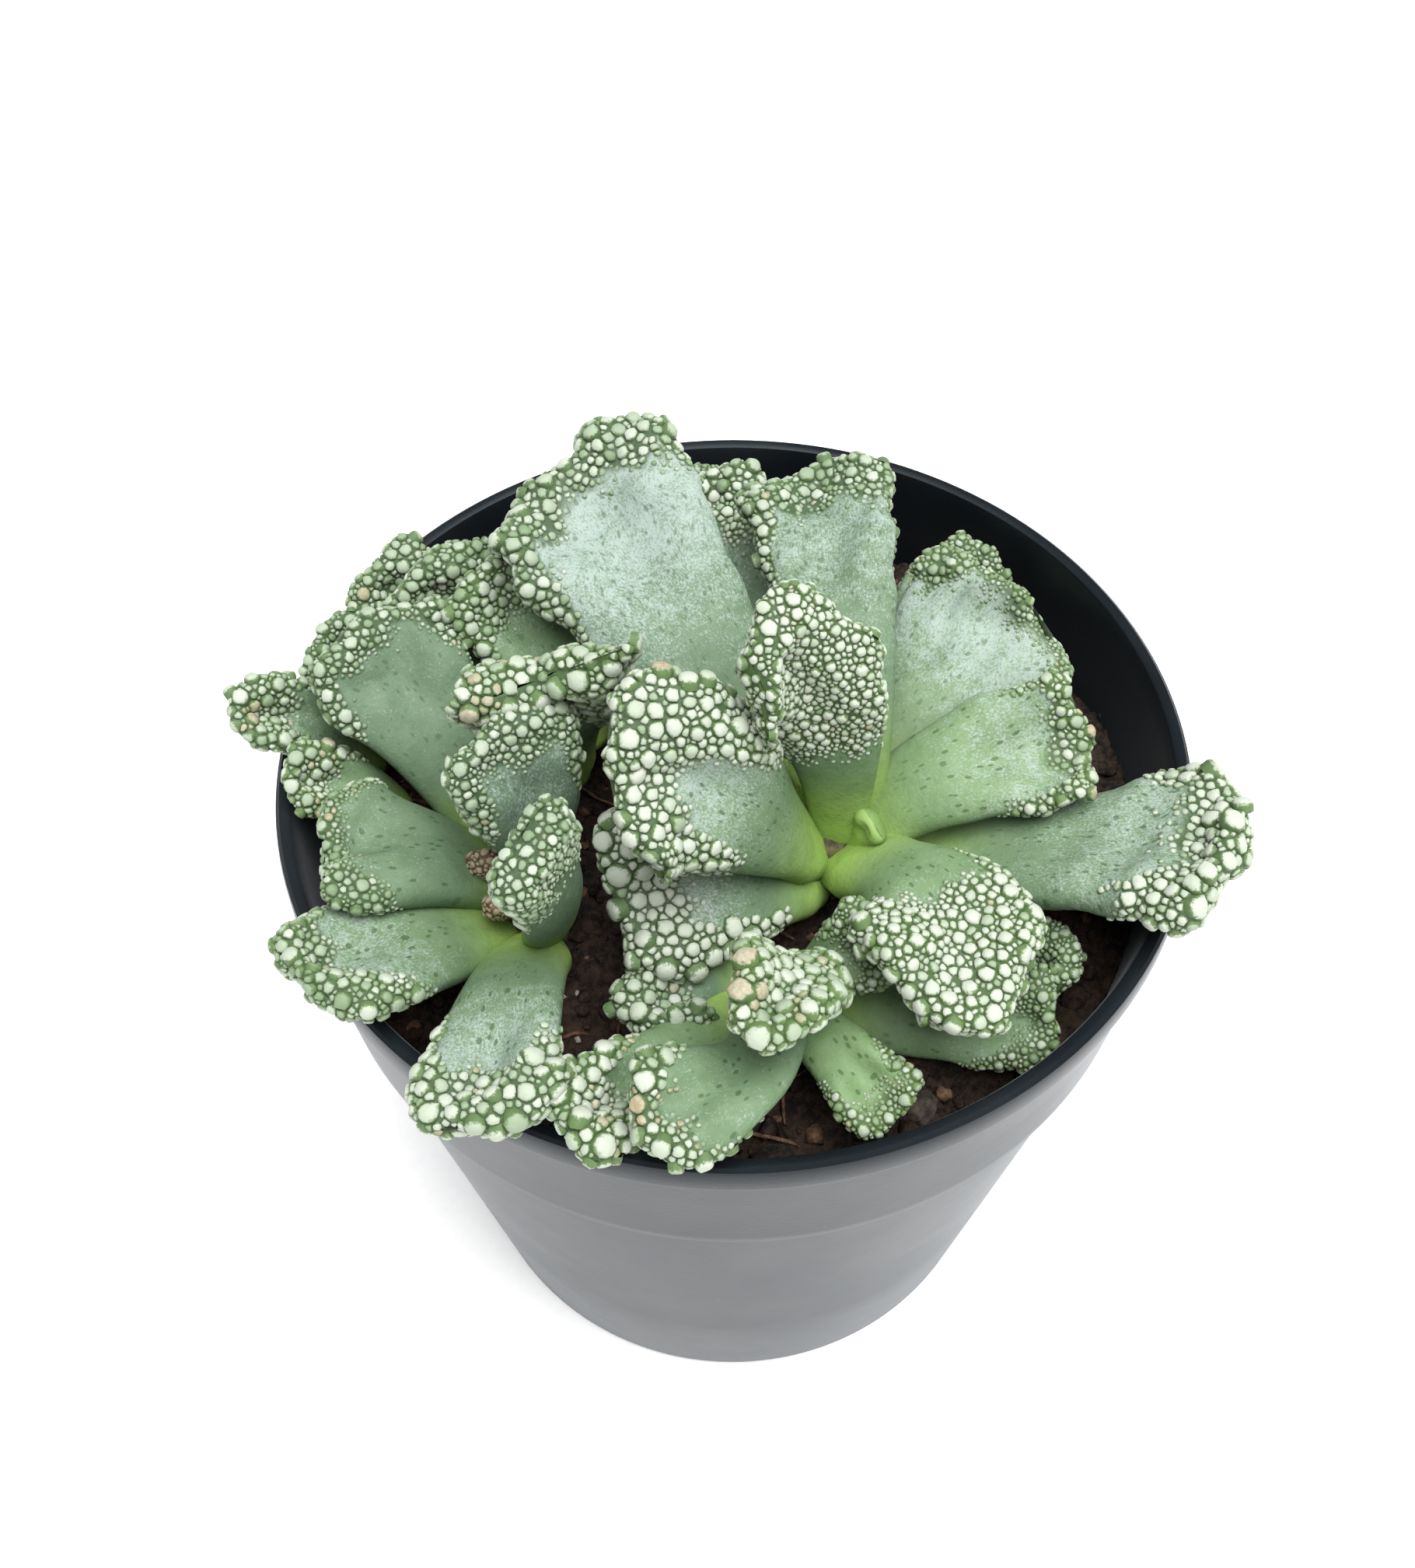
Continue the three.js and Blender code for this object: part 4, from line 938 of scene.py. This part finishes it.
# The blade itself: a ball whose rings are drawn out along the leaf, with close rows at the rounded end
def leaf_blade(growth, leaf, sides, rows):
    clear_selection()
    bpy.ops.mesh.primitive_uv_sphere_add(segments=sides, ring_count=rows, radius=1.0, location=(0, 0, 0))
    ball = bpy.context.object
    points = points_of(ball.data)
    faces = [tuple(p.vertices) for p in ball.data.polygons]
    bpy.data.objects.remove(ball, do_unlink=True)
    ring = np.arccos(np.clip(-points[:, 2], -1, 1)) / math.pi * rows
    length = middle_line(leaf, np.array([0.0]))[4]
    rounding = 0.5 * end_thickness(leaf) / length
    body_rows = rows - 2 - END_ROWS
    k = np.clip(ring - 1, 0, None)
    on_body = np.clip(k / body_rows, 0, 1) * (1 - rounding)
    on_end = 1 - rounding + rounding * np.sin(np.clip((k - body_rows) / END_ROWS, 0, 1) * math.pi / 2)
    s = np.where(k <= body_rows, on_body, on_end)
    s = np.clip(s, 0, 0.99995)
    turn = np.arctan2(points[:, 1], points[:, 0])
    pole = (ring < 0.5) | (ring > rows - 0.5)
    placed, across, _ = leaf_surface(leaf, s, turn)
    middle = leaf_surface(leaf, s, np.full(len(s), math.pi / 2))[0] * 0.5
    middle += leaf_surface(leaf, s, np.full(len(s), -math.pi / 2))[0] * 0.5
    placed[pole] = middle[pole]
    # how far round on the underside a place lies; the skin gets painted shade there, and the frost is
    # thinner
    under = 1 - smooth(-0.4, 0.1, np.sin(turn))
    bloom = leaf["bloom"] * smooth(0.24, 0.78, s) * (1 - 0.35 * under)
    # a young leaf has no warts and is as bright as the neck of a grown one all over
    young = leaf["big"] < SMALLEST_WART
    zone = wart_zone(leaf, s, turn) * (not young)
    reach = s * (0.25 if young else 1)
    growth.add(placed * MM, faces, wart=0, rise=0, white=0, tan=0, zone=zone, reach=reach, under=under,
               bloom=bloom, fresh=leaf["fresh"], dots=leaf["dots"],
               across=across * leaf["tip_width"] / 2, along=s * length)


# Joins the places across and along a leaf into the one vector that its dots and scratches follow
def blade_coordinates(body):
    mesh = body.data
    flat = np.zeros((len(mesh.vertices), 3), np.float32)
    for axis, key in enumerate(("across", "along")):
        one = np.empty(len(mesh.vertices), np.float32)
        mesh.attributes[key].data.foreach_get("value", one)
        flat[:, axis] = one
    layer = mesh.attributes.new("blade", "FLOAT_VECTOR", "POINT")
    layer.data.foreach_set("vector", flat.ravel())
    mesh.attributes.remove(mesh.attributes["across"])
    mesh.attributes.remove(mesh.attributes["along"])


def outward(body):
    clear_selection()
    body.select_set(True)
    bpy.context.view_layer.objects.active = body
    bpy.ops.object.mode_set(mode="EDIT")
    bpy.ops.mesh.select_all(action="SELECT")
    bpy.ops.mesh.normals_make_consistent(inside=False)
    bpy.ops.object.mode_set(mode="OBJECT")


def make_leaf(plans, name, material, shapes, seed):
    growth = Growth()
    random = np.random.default_rng(seed)
    for plan in plans:
        sides, rows = WIDE_NET if plan["tip_width"] > WIDE_LEAF else NARROW_NET
        leaf_blade(growth, plan, sides, rows)
        stamp_warts(growth, plan, random, shapes)
    body = growth.body(name)
    outward(body)
    blade_coordinates(body)
    finish_piece(body, name, [plans[0]["name"]], material)


def make_leaves(materials):
    fine = wart_shape(11, [(1.0, -0.8), (1.0, 0.2), (0.9, 0.62), (0.66, 0.9), (0, 1.0)])
    plain = wart_shape(9, [(1.0, -0.8), (0.98, 0.3), (0.7, 0.86), (0, 1.0)])
    small = wart_shape(7, [(1.0, -0.8), (0.84, 0.62), (0, 1.0)])
    shapes = [(fine, 0.5, 9), (plain, 0.27, 0.5), (small, 0, 0.27)]
    for i, plan in enumerate(LEAVES):
        make_leaf([plan], plan["name"] + "_skin", materials["leaf"], shapes, 100 + i)
    for i, plan in enumerate(NEW_LEAVES):
        make_leaf([plan], plan["name"] + "_skin", materials["leaf"], shapes, 200 + i)
    make_leaf(DRIED, "dried_leaves_skin", materials["dried"], shapes, 300)


# The stems, with the part of the tap root that stands in the soil
def make_stems(material):
    for i, (name, (x, y), top, r) in enumerate(STEMS):
        ground = float(soil_height(x, y))
        steps = [(0.8, ground - 20), (r * 0.85, ground - 8)]
        for k in range(1, 9):
            z = ground - 8 + (top - 1.2 - ground + 8) * k / 8
            steps.append((r * (0.94 + 0.06 * math.sin(2.3 * k + i)), z))
        steps += [(r * 0.86, top - 0.6), (r * 0.5, top - 0.1)]
        body = turned(steps, 28, (x, y))
        points = points_of(body.data) / MM
        points += wobble(points, 2.6, i) * 0.12
        move_points(body.data, points * MM)
        finish_piece(body, name + "_bark", [name], material)


def make_grains(white, grey):
    for i, (name, (x, y), size, turn) in enumerate(GRAINS):
        clear_selection()
        bpy.ops.mesh.primitive_ico_sphere_add(subdivisions=5, radius=1.0, location=(0, 0, 0))
        body = bpy.context.object
        p = points_of(body.data)
        p *= 1 + 0.09 * wobble(p, 1.3, i + 1)[:, :1] + 0.05 * wobble(p, 0.5, i + 5)[:, :1]
        p = np.sign(p) * np.abs(p) ** 0.9
        p = p * np.array(size)
        a = math.radians(turn)
        p = p @ np.array([[math.cos(a), math.sin(a), 0], [-math.sin(a), math.cos(a), 0], [0, 0, 1]])
        p += np.array([x, y, float(soil_height(x, y)) - 0.1])
        move_points(body.data, p * MM)
        finish_piece(body, name + "_stone", [name], white if i == 0 else grey)


# The body of the soil: a fine square net pulled round, its edge drawn down the wall and closed on the
# pot's floor
def soil_bed(growth, random):
    clear_selection()
    bpy.ops.mesh.primitive_grid_add(x_subdivisions=SOIL_SQUARES, y_subdivisions=SOIL_SQUARES, size=2,
                                    location=(0, 0, 0))
    bed = bpy.context.object
    p = points_of(bed.data)
    x = p[:, 0] * np.sqrt(1 - p[:, 1] ** 2 / 2) * SOIL_RADIUS
    y = p[:, 1] * np.sqrt(1 - p[:, 0] ** 2 / 2) * SOIL_RADIUS
    z = soil_height(x, y)
    at = np.stack([x, y, z], 1)
    for size, depth in ((6.0, 0.25), (2.6, 0.22), (1.3, 0.16)):
        z = z + wobble(at, size, size)[:, 0] * depth
    z = z + 0.12 * random.standard_normal(len(z))
    move_points(bed.data, np.stack([x, y, z], 1) * MM)
    bpy.ops.object.mode_set(mode="EDIT")
    bpy.ops.mesh.select_mode(type="EDGE")
    bpy.ops.mesh.select_all(action="DESELECT")
    bpy.ops.mesh.select_non_manifold(extend=False)
    for lift, k in ((-6.5, 34.0 / SOIL_RADIUS), (-48.5, 25.6 / 34.0)):
        bpy.ops.mesh.extrude_region_move(TRANSFORM_OT_translate={"value": (0, 0, lift * MM)})
        bpy.ops.transform.resize(value=(k, k, 1), center_override=(0, 0, 0))
    bpy.ops.mesh.edge_face_add()
    bpy.ops.mesh.select_all(action="SELECT")
    bpy.ops.mesh.normals_make_consistent(inside=False)
    bpy.ops.object.mode_set(mode="OBJECT")
    points, faces = take_shape(bed)
    growth.add(points, faces, tone=0.0)


# Crumbs of peat, with some bark and a few pale grains among them
def scatter_crumbs(growth, random):
    crumb, crumb_faces = crumb_shape()
    r = CRUMB_RADIUS * np.sqrt(random.random(CRUMBS))
    a = 2 * math.pi * random.random(CRUMBS)
    x, y = r * np.cos(a), r * np.sin(a)
    size = 0.25 + 0.75 * random.random(CRUMBS) ** 2.5
    tone = np.where(random.random(CRUMBS) < 0.16, 0.55, np.where(random.random(CRUMBS) < 0.035, 1.0, 0.05))
    stretch = 0.6 + 0.8 * random.random((CRUMBS, 3))
    stretch[:, 2] *= 0.75
    turn = 2 * math.pi * random.random(CRUMBS)
    shape = crumb[None] * stretch[:, None] * size[:, None, None]
    shape = shape * (1 + 0.16 * random.standard_normal((CRUMBS, len(crumb), 1)))
    cosine, sine = np.cos(turn)[:, None], np.sin(turn)[:, None]
    turned_x = shape[..., 0] * cosine - shape[..., 1] * sine
    turned_y = shape[..., 0] * sine + shape[..., 1] * cosine
    z = soil_height(x, y) + 0.15 * size
    placed = np.stack([turned_x + x[:, None], turned_y + y[:, None], shape[..., 2] + z[:, None]], 2)
    growth.add_copies(crumb_faces, placed * MM, tone=tone)


# Root fibres that lie on the soil, each a thin round thread drawn to a point at both ends
def scatter_fibres(growth, random):
    faces = [(i * FIBRE_SIDES + k, i * FIBRE_SIDES + (k + 1) % FIBRE_SIDES,
              (i + 1) * FIBRE_SIDES + (k + 1) % FIBRE_SIDES, (i + 1) * FIBRE_SIDES + k)
             for i in range(FIBRE_STEPS - 1) for k in range(FIBRE_SIDES)]
    faces.append(tuple(range(FIBRE_SIDES - 1, -1, -1)))
    faces.append(tuple((FIBRE_STEPS - 1) * FIBRE_SIDES + k for k in range(FIBRE_SIDES)))
    for _ in range(FIBRES):
        long = 3 + 8 * random.random()
        r = 31 * math.sqrt(random.random())
        a = 2 * math.pi * random.random()
        x, y = r * math.cos(a), r * math.sin(a)
        course = 2 * math.pi * random.random()
        bend = 1.6 * random.standard_normal()
        thick = 0.07 + 0.12 * random.random()
        rings = []
        for i in range(FIBRE_STEPS):
            course += bend / FIBRE_STEPS
            x += long / FIBRE_STEPS * math.cos(course)
            y += long / FIBRE_STEPS * math.sin(course)
            if math.hypot(x, y) > 34:
                x, y = x * 33.9 / math.hypot(x, y), y * 33.9 / math.hypot(x, y)
            arch = math.sin(math.pi * i / (FIBRE_STEPS - 1))
            z = float(soil_height(x, y)) + 0.35 + 0.5 * arch * random.random()
            half = thick * (0.25 if i in (0, FIBRE_STEPS - 1) else 1)
            out = np.array([-math.sin(course), math.cos(course), 0])
            for k in range(FIBRE_SIDES):
                b = 2 * math.pi * k / FIBRE_SIDES
                lift = np.array([0, 0, math.sin(b) * half])
                rings.append(np.array([x, y, z]) + out * math.cos(b) * half + lift)
        growth.add(np.array(rings) * MM, faces, tone=0.62)


def make_soil(material):
    random = np.random.default_rng(7)
    growth = Growth()
    soil_bed(growth, random)
    scatter_crumbs(growth, random)
    scatter_fibres(growth, random)
    body = growth.body("peat_bed")
    outward(body)
    finish_piece(body, "peat_bed", ["soil"], material)


def make_floor(material):
    clear_selection()
    bpy.ops.mesh.primitive_plane_add(size=8, location=(0, 0, 0))
    floor = bpy.context.object
    floor.name = "floor"
    floor.data.materials.append(material)


photo_camera()
white_sweep()
make_pot(black_plastic())
make_soil(peat())
make_stems(stem_bark())
make_grains(perlite(), pebble())
make_leaves({"leaf": leaf_skin(), "dried": dried_skin()})
make_floor(paper())
